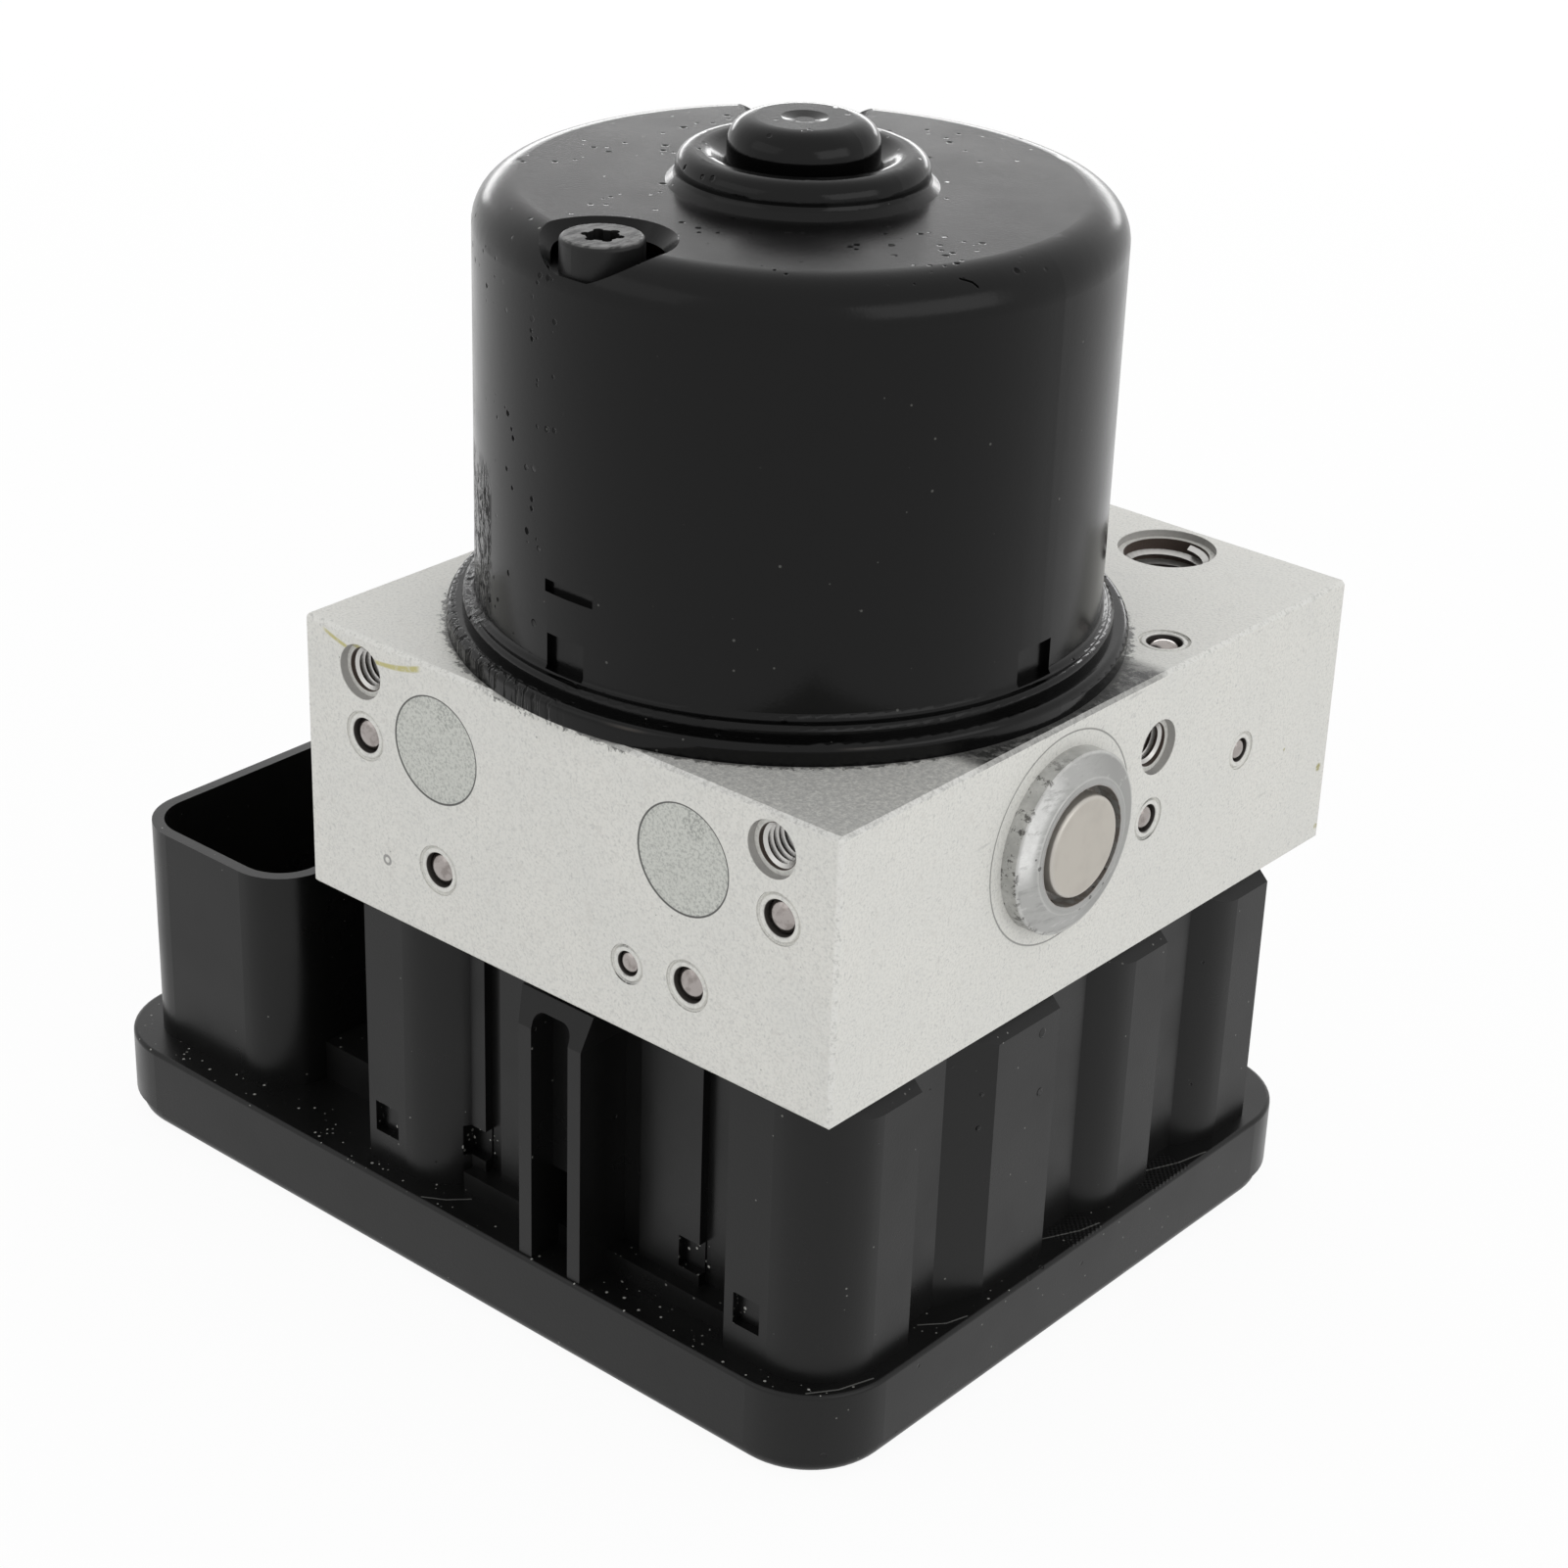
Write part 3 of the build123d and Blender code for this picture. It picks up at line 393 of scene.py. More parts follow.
# Painted shade and a painted reflection of the can on the top's front right corner.
block.tint(block.all_of(corner_shade_and_reflection, block.step(coarse, 0.30, 0.62, 0.10, 0.62)), (0.36, 0.36, 0.355))
from_motor = block.radius(block.x, block.y, motor)
soot_noise = block.noise(520.0, detail=6.0, rough=0.8)
soot_reach = block.calc("ADD", from_motor, block.calc("MULTIPLY_ADD", soot_noise, 0.006, -0.003))
soot_side = block.within(block.y, -0.028, 0.011, 0.002)
soot_and_flange_shadow = block.all_of(top, block.fade(soot_reach, 0.0500, 0.0535), soot_side,
                    block.step(block.x, 0.020, 0.034))
# Partly soot and partly painted shadow of the flange, on the top beside it.
block.tint(block.all_of(soot_and_flange_shadow, block.step(soot_noise, 0.62, 0.46, 0.75, 1.0)), (0.020, 0.020, 0.019))
block.tint(block.all_of(soot_and_flange_shadow, block.step(grain, 0.58, 0.68, 0.0, 0.45)), (0.20, 0.20, 0.195))
top_depth = block.calc("SUBTRACT", block_height, block_z)
rim_noise = block.noise(900.0, detail=5.0, rough=0.8)
ragged_rim = block.calc("MULTIPLY_ADD", rim_noise, 0.0050, -0.0025)
flange_contact_shadow = block.all_of(top, block.fade(block.calc("ADD", from_motor, ragged_rim), 0.0455, 0.0462))
flange_overhang_shadow = block.all_of(front, block.fade(block_x, 0.0110, 0.0135),
                         block.fade(block.calc("ADD", top_depth, ragged_rim), 0.0005, 0.0009))
# Painted shadow: a narrow ragged ring round the flange's foot, and its fringe on the front face under
# the flange.
block.tint(block.any_of(flange_contact_shadow, flange_overhang_shadow), (0.07, 0.07, 0.067), 0.85)
print("soot beside the flange and on the front edge")

# %% [markdown]
# A thin yellow streak sags across the front face like a parabola and widens to its
# right end. Three small olive spots sit near the right face's far edge.

# %% Block streak and spots
streak_x = block.calc("ADD", block.x, 0.0335)
streak_curve = block.calc("MULTIPLY_ADD", block.calc("MULTIPLY", streak_x, streak_x), 20.0, 0.03742)
streak_gap = block.calc("ABSOLUTE", block.calc("SUBTRACT", block_z, streak_curve))
streak_width = block.step(block.x, -0.034, -0.0245, 0.00022, 0.00040)
streak_line = block.fade(block.calc("SUBTRACT", streak_gap, streak_width), -0.0001, 0.0002)
streak = block.all_of(front, streak_line, block.within(block.x, -0.0425, -0.0247, 0.0006))
block.tint(block.all_of(streak, block.step(coarse, 0.62, 0.50, 0.5, 0.9)), (0.50, 0.46, 0.17))
olive = []
for y, z, size in ((0.0524, 0.0120, 0.0008), (0.0535, 0.0022, 0.0006), (0.0426, 0.0182, 0.0003)):
    olive.append(block.fade(block.radius(block.y, block_z, (y, z)), 0.4 * size, size))
olive_mask = block.all_of(right, block.any_of(*olive), block.step(coarse, 0.3, 0.6))
block.tint(olive_mask, (0.36, 0.33, 0.13))
print("one streak and", len(olive), "spots")

# %% [markdown]
# Small marks are spread over all faces: smudges, specks, pits and, on the right
# face, fine scratches that run from front to back. Voronoi cells place the specks
# and pits, so each one is a round dot and not a patch of noise.

# %% Block specks
smudges = block.noise(190.0, detail=6.0, rough=0.75)
block.tint(block.step(smudges, 0.58, 0.74, 0.0, 0.28), (0.50, 0.50, 0.49))
dimple = block.ring(block.x, block_z, (-0.0314, 0.0088), 0.0006, 0.0004)
block.tint(block.all_of(front, dimple), (0.16, 0.16, 0.155), 0.7)
block.tint(block.dots(150.0, 0.00035, 0.22), (0.24, 0.24, 0.23), 0.6)
pits = block.dots(330.0, 0.00020, 0.35)
block.tint(pits, (0.20, 0.20, 0.19), 0.7)
scratches = block.noise(420.0, detail=2.0, rough=0.6, stretch=(1.0, 0.12, 1.0))
block.tint(block.all_of(right, block.step(scratches, 0.70, 0.78, 0.0, 0.5)), (0.40, 0.40, 0.39))
print("specks and pits on the block")

# %% [markdown]
# A dark outline of painted shade marks the gap round each accumulator cover, and a
# circle is scribed round the pump plug. A second ring, a hair lower and wider, makes
# the painted shade heavier at the cover's foot.

# %% Block outlines
cover_line, cover_line_width = 0.00735, 0.00030
foot_side, foot_drop, foot_line = 0.00006, 0.00006, 0.00744
for x in (-cover_across, cover_across):
    line = block.ring(block.x, block.z, (x, block_low.z + cover_up), cover_line, cover_line_width)
    lower = (x - foot_side, block_low.z + cover_up - foot_drop)
    lower_line = block.ring(block.x, block.z, lower, foot_line, cover_line_width)
    # Painted shade: the dark rings stand for the shade in the gap round each cover.
    block.tint(block.all_of(front, block.any_of(line, lower_line)), (0.10, 0.10, 0.095))
scribed_ring = block.ring(block.y, block.z, (motor[1], pump_z), 0.0146, 0.00022)
scribed = block.all_of(right, scribed_ring)
block.tint(scribed, (0.24, 0.24, 0.23), 0.8)
print("outlines round two covers and one plug")

# %% [markdown]
# The walls of the drillings are dark with oil and shade, and the threads' mouths are
# a middle grey. Each hole is a distance from its axis and a depth below its face,
# so the same loop serves the front, the sides, the top and the back.

# %% Hole walls
front_depth = block.calc("SUBTRACT", block.y, block_low.y)
side_depth = block.calc("SUBTRACT", block_high.x, block_x)
back_depth = block.calc("SUBTRACT", block_high.y, block.y)
ball_holes = [(block.x, block_z, (x, z), radius, front_depth) for x, z, radius in front_balls]
ball_holes += [(block.y, block_z, (y, z), radius, side_depth) for y, z, radius in side_balls]
ball_holes.append((block.x, block.y, top_ball[:2], top_ball[2], top_depth))
threaded_holes = [(block_x, block_z, front_mount, mount_bore, mount_mouth, front_depth),
                  (block.y, block_z, side_mount, mount_bore, mount_mouth, side_depth),
                  (block_x, block.y, port, port_bore, port_mouth, top_depth),
                  (block_x, block_z, (wheel_far, wheel_up), wheel_bore, wheel_mouth, back_depth),
                  (block_x, block_z, (wheel_near, wheel_up), wheel_bore, wheel_mouth, back_depth)]


def hole_wall(away, depth, radius, start, end):
    """The wall of a hole, from one depth to another."""
    inside = block.fade(away, radius + 0.00006, radius + 0.00014)
    return block.all_of(inside, block.within(depth, start, end, 0.0001))


for a, b, centre, radius, depth in ball_holes:
    away = block.radius(a, b, centre)
    block.tint(hole_wall(away, depth, radius, 0.0002, 0.0100), (0.04, 0.036, 0.033))
for a, b, centre, radius, mouth, depth in threaded_holes:
    away = block.radius(a, b, centre)
    block.tint(hole_wall(away, depth, radius, 0.0009, 0.0180), (0.075, 0.055, 0.045))
    mouth_wall = block.all_of(block.within(away, mouth - 0.0001, mouth + 0.0001, 0.00008),
                              block.within(depth, 0.0001, 0.0013, 0.0001))
    block.tint(mouth_wall, (0.33, 0.32, 0.31), 0.8)
print(len(ball_holes), "ball holes and", len(threaded_holes), "kinds of threaded hole")

# %% [markdown]
# The speckle is felt as well as seen, so the same noises also raise the surface by a
# few hundredths of a millimetre, and the pits and the scribed circle lower it.

# %% Block relief
block.raise_by(grain, 0.00003)
block.raise_by(coarse, 0.00003)
block.raise_by(pits, -0.00010)
block.raise_by(scribed, -0.00006)
block_finish = block.done()
dress(block_finish, "valve_block")

# %% [markdown]
# The two accumulator covers are pressed discs of a slightly darker alloy than the
# block. They have dark specks, a worn patch near the top and a darker edge.

# %% Accumulator covers
cover = Finish("cover_aluminium", (0.60, 0.61, 0.57), roughness=0.6, metallic=0.15)
speckle = cover.noise(2200.0, detail=3.0, rough=0.7)
cover_blotches = cover.noise(500.0, detail=5.0, rough=0.75)
cover.tint(cover.step(speckle, 0.45, 0.70, 0.0, 0.45), (0.47, 0.48, 0.45))
cover.tint(cover.step(cover_blotches, 0.52, 0.68, 0.0, 0.45), (0.44, 0.45, 0.42))
cover.tint(cover.dots(900.0, 0.00024, 0.3), (0.26, 0.27, 0.25), 0.5)
cover_z = cover.calc("SUBTRACT", cover.z, block_low.z)
for x in (-cover_across, cover_across):
    worn = cover.fade(cover.radius(cover.x, cover_z, (x + 0.0018, 0.0338)), 0.0012, 0.0024)
    cover.tint(cover.all_of(worn, cover.step(speckle, 0.40, 0.65, 0.0, 0.7)), (0.30, 0.31, 0.29))
    cover_edge = cover.step(cover.radius(cover.x, cover_z, (x, cover_up)), 0.0062, 0.0073)
    cover.tint(cover.all_of(cover_edge, cover.step(speckle, 0.45, 0.65, 0.0, 0.6)), (0.34, 0.35, 0.33))
cover.raise_by(speckle, 0.00003)
dress(cover.done(), "accumulator_cover_left", "accumulator_cover_right")

# %% [markdown]
# The balls that close the drillings are ground steel. They mirror the room, and oil
# has left a warm dark film on them.

# %% Ball steel
ball = Finish("ground_steel", (0.37, 0.34, 0.325), roughness=0.2, metallic=1.0)
ball.tint(ball.step(ball.noise(900.0, detail=4.0), 0.45, 0.7, 0.0, 0.6), (0.20, 0.175, 0.165))
ball_finish = ball.done()
dress(ball_finish, "ball_plugs")

# %% [markdown]
# The pump plug is a turned steel ring. Its parts follow from the distance to the
# pump's axis: the outer side, the bevel, a flat face with tool marks and the gap
# round the disc. The bevel is darkened with painted shade, most on its far side, and
# has a painted highlight where it turns towards the light.

# %% Pump plug
plug = Finish("turned_ring_steel", (0.62, 0.62, 0.60), roughness=0.42, metallic=0.5)
plug_mottle = plug.noise(260.0, detail=5.0, rough=0.7)
plug.tint(plug.step(plug_mottle, 0.35, 0.7, 0.0, 0.6), (0.48, 0.48, 0.46))
from_pump = plug.radius(plug.y, plug.z, (motor[1], pump_z))
plug_bevel = plug.within(from_pump, 0.0093, 0.0121, 0.0002)
# Painted shade: the bevel is darkened for the light it turns away from.
plug.tint(plug_bevel, (0.38, 0.38, 0.37), 0.85)
plug_rise = plug.calc("SUBTRACT", plug.z, pump_z)
plug_toward = plug.calc("ARCTAN2", plug_rise, plug.calc("SUBTRACT", motor[1], plug.y))
plug_lit = plug.within(plug_toward, math.radians(-5.0), math.radians(62.0), 0.25)
plug_shine = plug.all_of(plug_bevel, plug_lit, plug.within(from_pump, 0.0100, 0.0124, 0.0005))
# Painted highlight on the bevel where it turns towards the light.
plug.tint(plug.all_of(plug_shine, plug.step(plug_mottle, 0.30, 0.60, 1.0, 0.6)), (0.80, 0.80, 0.785))
plug.tint(plug.within(from_pump, 0.0070, 0.0092, 0.0002), (0.33, 0.33, 0.32), 0.8)
# Painted shade, darker still on the bevel's far side.
plug_far_shade = plug.all_of(plug_bevel, plug.step(plug.y, motor[1] - 0.001, motor[1] + 0.008))
plug.tint(plug_far_shade, (0.27, 0.27, 0.26), 0.8)
plug_side = plug.step(from_pump, 0.0120, 0.0124)
plug.tint(plug.all_of(plug_side, plug.step(plug_mottle, 0.3, 0.7, 0.25, 0.7)), (0.33, 0.33, 0.32))
print("plug shaded by its distance from the pump's axis")

# %% [markdown]
# Grime clings to the ring's left rim and in the gap round the disc, the bevel has
# level streaks, and small pits are strewn over all of it. A sine of the distance
# from the axis leaves the fine grooves of the lathe on the flat face.

# %% Plug grime and relief
plug_grime = plug.noise(700.0, detail=5.0, rough=0.75)
plug_back = plug.step(plug.y, motor[1] + 0.002, motor[1] - 0.008)
plug_rim = plug.all_of(plug.step(from_pump, 0.0117, 0.0123), plug_back)
plug.tint(plug.all_of(plug_rim, plug.step(plug_grime, 0.52, 0.60, 0.0, 0.85)), (0.075, 0.070, 0.065))
plug_gap = plug.all_of(plug.within(from_pump, 0.0069, 0.0083, 0.0001), plug.step(plug_grime, 0.40, 0.60))
plug.tint(plug_gap, (0.20, 0.15, 0.12), 0.65)
plug_streaks = plug.noise(420.0, detail=6.0, rough=0.7, stretch=(1.0, 0.45, 1.6))
plug.tint(plug.all_of(plug_bevel, plug.step(plug_streaks, 0.50, 0.66, 0.0, 0.7)), (0.30, 0.30, 0.29))
plug.tint(plug.all_of(plug_bevel, plug.step(plug_streaks, 0.34, 0.44, 0.35, 0.0)), (0.74, 0.74, 0.72))
plug_lines = plug.calc("SINE", plug.calc("MULTIPLY", from_pump, 9000.0))
plug.raise_by(plug.all_of(plug_lines, plug.within(from_pump, 0.0082, 0.0094, 0.0001)), 0.00004)
plug_pits = plug.dots(600.0, 0.00035, 0.6)
plug.tint(plug_pits, (0.10, 0.10, 0.095), 0.8)
plug.raise_by(plug_mottle, 0.00004)
plug.raise_by(plug_pits, -0.0001)
dress(plug.done(), "pump_plug_left", "pump_plug_right")

# %% [markdown]
# The disc in the middle of the plug is plated and a little warmer than the ring. It
# has a pale painted highlight round its edge and a few bright nicks.

# %% Plug disc
disc = Finish("warm_nickel", (0.50, 0.47, 0.42), roughness=0.38, metallic=0.6)
disc_cloud = disc.noise(350.0, detail=3.0)
disc.tint(disc.step(disc_cloud, 0.4, 0.75, 0.0, 0.5), (0.43, 0.40, 0.36))
disc_edge_highlight = disc.step(disc.radius(disc.y, disc.z, (motor[1], pump_z)), 0.0063, 0.0069)
# Painted highlight round the disc's edge.
disc.tint(disc_edge_highlight, (0.62, 0.60, 0.56), 0.5)
disc.tint(disc.dots(420.0, 0.0006, 0.10), (0.80, 0.78, 0.70), 0.7)
disc.raise_by(disc.noise(1500.0, detail=2.0), 0.00001)
dress(disc.done(), "plug_disc_left", "plug_disc_right")

# %% [markdown]
# What is steel and sits inside, such as the shaft, bearings, valves and springs, is
# plain and bright.

# %% Bright steel
bright = Finish("bright_steel", (0.55, 0.55, 0.55), roughness=0.3, metallic=1.0)
bright.tint(bright.step(bright.noise(500.0, detail=3.0), 0.4, 0.8, 0.0, 0.4), (0.42, 0.42, 0.42))
dress(bright.done(), "motor_shaft", "rear_bearing", "front_bearing", "eccentric_ring",
      "valve_cartridges", "housing_screws", "pump_piston_left", "pump_piston_right",
      "piston_spring_left", "piston_spring_right", "accumulator_spring_left",
      "accumulator_spring_right", "brush_spring_left", "brush_spring_right",
      *["valve_plunger_%d" % n for n in range(1, 9)])

# %% [markdown]
# The can is drawn sheet steel under a satin black paint. Paint on steel shows a
# faint orange peel and dust caught in it, most of it on the left side. The angle
# round the motor says which side a point is on.

# %% Can paint
paint_specular = 0.21
paint = Finish("black_can_paint", (0.0012, 0.0012, 0.0012), roughness=0.28, specular=paint_specular)
from_axis = paint.radius(paint.x, paint.y, motor)
around = paint.calc("ARCTAN2", paint.calc("SUBTRACT", paint.y, motor[1]),
                    paint.calc("SUBTRACT", paint.x, motor[0]))
above = paint.calc("SUBTRACT", paint.z, block_high.z)
can_top = paint.step(paint.nz, 0.6, 0.95)
left_side = paint.step(around, math.radians(-84.0), math.radians(-104.0))
paint.raise_by(paint.noise(700.0, detail=2.0), 0.000005)
paint.raise_by(paint.noise(2600.0, detail=2.0), 0.000012)
dusty = paint.any_of(paint.all_of(left_side, 0.6), 0.22)
paint.tint(paint.all_of(paint.dots(700.0, 0.00024, 0.12), dusty), (0.30, 0.30, 0.28))
print("can painted and dusted")

# %% [markdown]
# Small craters lie in groups on the top and the left side. A crack runs from beside
# the screw's seat towards the shoulder, and a nick sits at the right shoulder. Both
# are drawn through a few points of the ground plan and kept to the top of the can.

# %% Craters and cuts
craters = paint.all_of(paint.dots(700.0, 0.00055, 0.35),
                       paint.step(paint.noise(60.0, detail=2.0), 0.45, 0.55),
                       paint.any_of(left_side, can_top))
crack = paint.hair([(0.0004, -0.0397), (0.0024, -0.0394), (0.0051, -0.0404), (0.0070, -0.0425)], 0.00032)
nick = paint.hair([(0.0362, -0.0245), (0.0372, -0.0234), (0.0378, -0.0231)], 0.00026)
cuts = paint.all_of(paint.any_of(crack, nick), paint.step(above, 0.0545, 0.0560))
craters = paint.any_of(craters, cuts)
paint.tint(craters, (0.0006, 0.0006, 0.0006))
paint.raise_by(craters, -0.00035)
print("craters, a crack and a nick")

# %% [markdown]
# Low on the left the paint ran and dried in crinkles. A stretched noise raises them,
# only between two angles and two heights, and fine specks in them will stay matte.

# %% Crinkled paint
run = paint.all_of(paint.within(around, math.radians(-150.0), math.radians(-118.0), 0.05),
                   paint.within(above, 0.006, 0.024, 0.003))
crinkle = paint.noise(520.0, detail=4.0, rough=0.65, stretch=(1.0, 1.0, 0.6))
crinkle_mask = paint.all_of(run, paint.step(crinkle, 0.42, 0.58))
paint.raise_by(crinkle_mask, 0.0009)
crinkle_pits = paint.all_of(run, paint.dots(1500.0, 0.0007, 0.8))
paint.tint(crinkle_mask, (0.030, 0.030, 0.029), 0.5)
print("crinkles on the lower left")

# %% [markdown]
# The flange's upper edge carries a broken pale line of painted highlight, warmer in
# front, and its left rim has the upright lines of the press.

# %% Flange rim
rim = paint.step(from_axis, 0.0440, 0.0443)
rim_front = paint.within(around, math.radians(-75.0), math.radians(-20.0), 0.10)
rim_highlight_line = paint.all_of(rim, paint.within(paint.nz, 0.30, 0.62, 0.10))
rim_breaks = paint.noise(38.0, detail=1.0)
# Painted highlight: a warm broken line on the front of the flange's edge, and a grey one all round.
paint.tint(paint.all_of(rim_highlight_line, rim_front, paint.step(rim_breaks, 0.42, 0.55)), (0.20, 0.17, 0.145))
paint.tint(paint.all_of(rim_highlight_line, paint.step(rim_breaks, 0.55, 0.70, 0.0, 0.5)), (0.15, 0.15, 0.14))
knurl = paint.noise(1100.0, detail=2.0, rough=0.6, stretch=(1.0, 1.0, 0.12))
knurl_lines = paint.all_of(rim, left_side, paint.step(knurl, 0.50, 0.60))
paint.raise_by(knurl_lines, -0.0002)
print("flange rim rubbed and lined")

# %% [markdown]
# Last the gloss: the boss, the cap and the flange are a little smoother than the
# drawn wall. Craters, the specks in the crinkles and the press lines hardly shine.

# %% Gloss of the can
smooth_parts = paint.any_of(paint.step(above, 0.0597, 0.0603),
                            paint.all_of(paint.step(from_axis, 0.0424, 0.0430),
                                         paint.step(above, 0.0060, 0.0050)))
paint_rough = paint.step(paint.noise(120.0, detail=4.0), 0.3, 0.8, 0.17, 0.23)
paint_rough = paint.calc("MULTIPLY_ADD", smooth_parts, -0.05, paint_rough)
matte = paint.any_of(craters, crinkle_pits, paint.all_of(knurl_lines, 0.8))
shine = paint.calc("MULTIPLY_ADD", matte, -0.20, paint_specular)
dress(paint.done(paint_rough, shine), "motor_can")

# %% [markdown]
# The motor screws were painted with the can, and the driver has scratched the paint
# from the top of the head.

# %% Screw heads
screw_paint = Finish("scratched_screw_paint", (0.006, 0.006, 0.006), roughness=0.45, specular=0.3)
head_top = screw_paint.step(screw_paint.nz, 0.6, 0.95)
wear = screw_paint.noise(900.0, detail=5.0, rough=0.7, stretch=(1.0, 0.35, 1.0))
bare = screw_paint.all_of(head_top, screw_paint.step(wear, 0.38, 0.60, 0.0, 0.9))
screw_paint.tint(bare, (0.16, 0.16, 0.157))
screw_paint.raise_by(screw_paint.noise(600.0, detail=3.0), 0.00006)
dress(screw_paint.done(), "motor_screws")

# %% [markdown]
# The control housing and its cover are moulded in black plastic. The mould leaves a
# fine even grain, and two patches of square stipple on the deck beside the towers.

# %% Housing plastic
plastic = Finish("black_moulding", (0.0048, 0.0048, 0.0047), roughness=0.32, specular=0.27)
plastic.raise_by(plastic.noise(3000.0, detail=2.0), 0.00001)
upward = plastic.step(plastic.nz, 0.5, 0.9)
deck_face = plastic.all_of(upward, plastic.within(plastic.x, 0.0435, 0.0500, 0.0003),
                           plastic.within(plastic.y, -0.0030, 0.0270, 0.0003),
                           plastic.step(plastic.z, 0.0300, 0.0250))
stipple = plastic.all_of(plastic.calc("SINE", plastic.calc("MULTIPLY", plastic.x, 7000.0)),
                         plastic.calc("SINE", plastic.calc("MULTIPLY", plastic.y, 7000.0)))
patches = plastic.any_of(plastic.within(plastic.y, -0.0020, 0.0050, 0.0003),
                         plastic.within(plastic.y, 0.0170, 0.0260, 0.0003))
plastic.raise_by(plastic.all_of(deck_face, patches, stipple), 0.00005)
print("plastic grained and stippled")

# %% [markdown]
# Dust lies on whatever faces up, in drifts, and a little of it everywhere. Handling
# leaves nicks, and five short pale lines of painted highlight lie on the deck along
# the towers' feet.

# %% Dust, nicks and painted foot highlights
drifts = plastic.step(plastic.noise(60.0, detail=3.0), 0.45, 0.62)
lying_dust = plastic.all_of(plastic.dots(1100.0, 0.00022, 0.25), upward, drifts)
plastic.tint(lying_dust, (0.40, 0.40, 0.38))
plastic.tint(plastic.dots(800.0, 0.00022, 0.10), (0.30, 0.30, 0.28), 0.5)
plastic.raise_by(plastic.dots(330.0, 0.0005, 0.14), -0.00015)
on_deck = plastic.all_of(upward, plastic.within(plastic.z, deck_z - 0.0008, deck_z + 0.0008, 0.0003))
foot_highlight_paths = [[(-0.0254, -0.0551), (-0.0224, -0.0533), (-0.0200, -0.0508)],
               [(0.0441, -0.0310), (0.0466, -0.0281), (0.0476, -0.0249)],
               [(0.0440, -0.0034), (0.0466, 0.0019), (0.0474, 0.0052)],
               [(0.0430, -0.0525), (0.0455, -0.0490), (0.0472, -0.0441)],
               [(0.0444, 0.0207), (0.0466, 0.0256), (0.0478, 0.0307)]]
foot_highlights = plastic.any_of(*[plastic.hair(path, 0.00024) for path in foot_highlight_paths])
# Painted highlight: thin pale lines on the deck along the fillets at the towers' feet.
plastic.tint(plastic.all_of(on_deck, foot_highlights), (0.11, 0.11, 0.105))
print(len(foot_highlight_paths), "fibres on the deck")

# %% [markdown]
# The four drain slots of the front wall are deep and painted nearly black as shade,
# with grit in them. More dust lies along the towers' front foot, and dried drops show
# on the right wall.

# %% Slots, foot and drops
slot_places = (-0.0348, -0.0212, 0.0187, 0.0325)
slot_half = 0.00225
slots_across = plastic.any_of(*[plastic.within(plastic.x, x - slot_half, x + slot_half, 0.0001)
                                for x in slot_places])
slots = plastic.all_of(slots_across, plastic.within(plastic.z, deck_z + 0.0049, deck_z + 0.0097, 0.0001),
                       plastic.step(plastic.y, -0.038, -0.040))
# Painted shade inside the drain slots.
plastic.tint(slots, (0.0012, 0.0012, 0.0012))
plastic.tint(plastic.all_of(plastic.dots(1500.0, 0.00030, 0.6), slots), (0.34, 0.34, 0.32))
front_foot = plastic.all_of(plastic.within(plastic.y, -0.0580, -0.0470, 0.002), on_deck)
plastic.tint(plastic.all_of(plastic.dots(1200.0, 0.00026, 0.30), front_foot), (0.34, 0.34, 0.32))
drops = plastic.all_of(plastic.step(plastic.nx, 0.5, 0.8),
                       plastic.within(plastic.y, -0.030, -0.008, 0.001),
                       plastic.within(plastic.z, deck_z + 0.022, deck_z + 0.036, 0.002),
                       plastic.dots(500.0, 0.0009, 0.22))
plastic.raise_by(drops, 0.0004)
plastic_rough = plastic.step(plastic.noise(90.0, detail=4.0), 0.3, 0.8, 0.27, 0.38)
dress(plastic.done(plastic_rough), "ecu_housing", "bottom_cover")

# %% [markdown]
# The parts inside show only where the module is opened, so most of them have one
# simple finish: a base tone with soft patches of a second tone in it.

# %% Inner parts
def two_tones(name, color, patches, per_metre, share=1.0, roughness=0.5, metallic=0.0):
    """A plain finish, whose second tone shows in soft patches."""
    finish = Finish(name, color, roughness, metallic)
    finish.tint(finish.step(finish.noise(per_metre), 0.4, 0.7, 0.0, share), patches)
    return finish.done()


dress(two_tones("pressed_ferrite", (0.06, 0.06, 0.065), (0.09, 0.09, 0.095), 800.0, roughness=0.7),
      "magnets")
dress(two_tones("carbon", (0.03, 0.03, 0.03), (0.05, 0.05, 0.05), 900.0, roughness=0.6),
      "brush_left", "brush_right")
dress(two_tones("tinned_contact", (0.55, 0.50, 0.40), (0.42, 0.38, 0.30), 700.0, share=0.5,
                roughness=0.3, metallic=1.0), "connector_pins", "motor_terminals")
dress(two_tones("grey_inner_plastic", (0.05, 0.05, 0.052), (0.07, 0.07, 0.072), 900.0, share=0.5),
      "brush_plate")
dress(two_tones("piston_alloy", (0.52, 0.52, 0.51), (0.44, 0.44, 0.43), 600.0, share=0.5,
                roughness=0.4, metallic=0.9), "accumulator_piston_left", "accumulator_piston_right")
dress(two_tones("seal_rubber", (0.015, 0.015, 0.015), (0.022, 0.022, 0.022), 700.0, roughness=0.75),
      "motor_seal", "housing_gasket")

# %% [markdown]
# Three finishes inside have a pattern of their own: copper with flat darker bands,
# the core's stack of thin sheets, and the board's green with darker patches.

# %% Windings, core and board
copper = Finish("enamelled_copper", (0.50, 0.20, 0.09), roughness=0.35, metallic=0.9)
bands = copper.noise(900.0, detail=2.0, stretch=(1, 1, 4))
copper.tint(copper.step(bands, 0.4, 0.7), (0.38, 0.14, 0.06))
dress(copper.done(), "armature_windings", "commutator", "valve_coils")

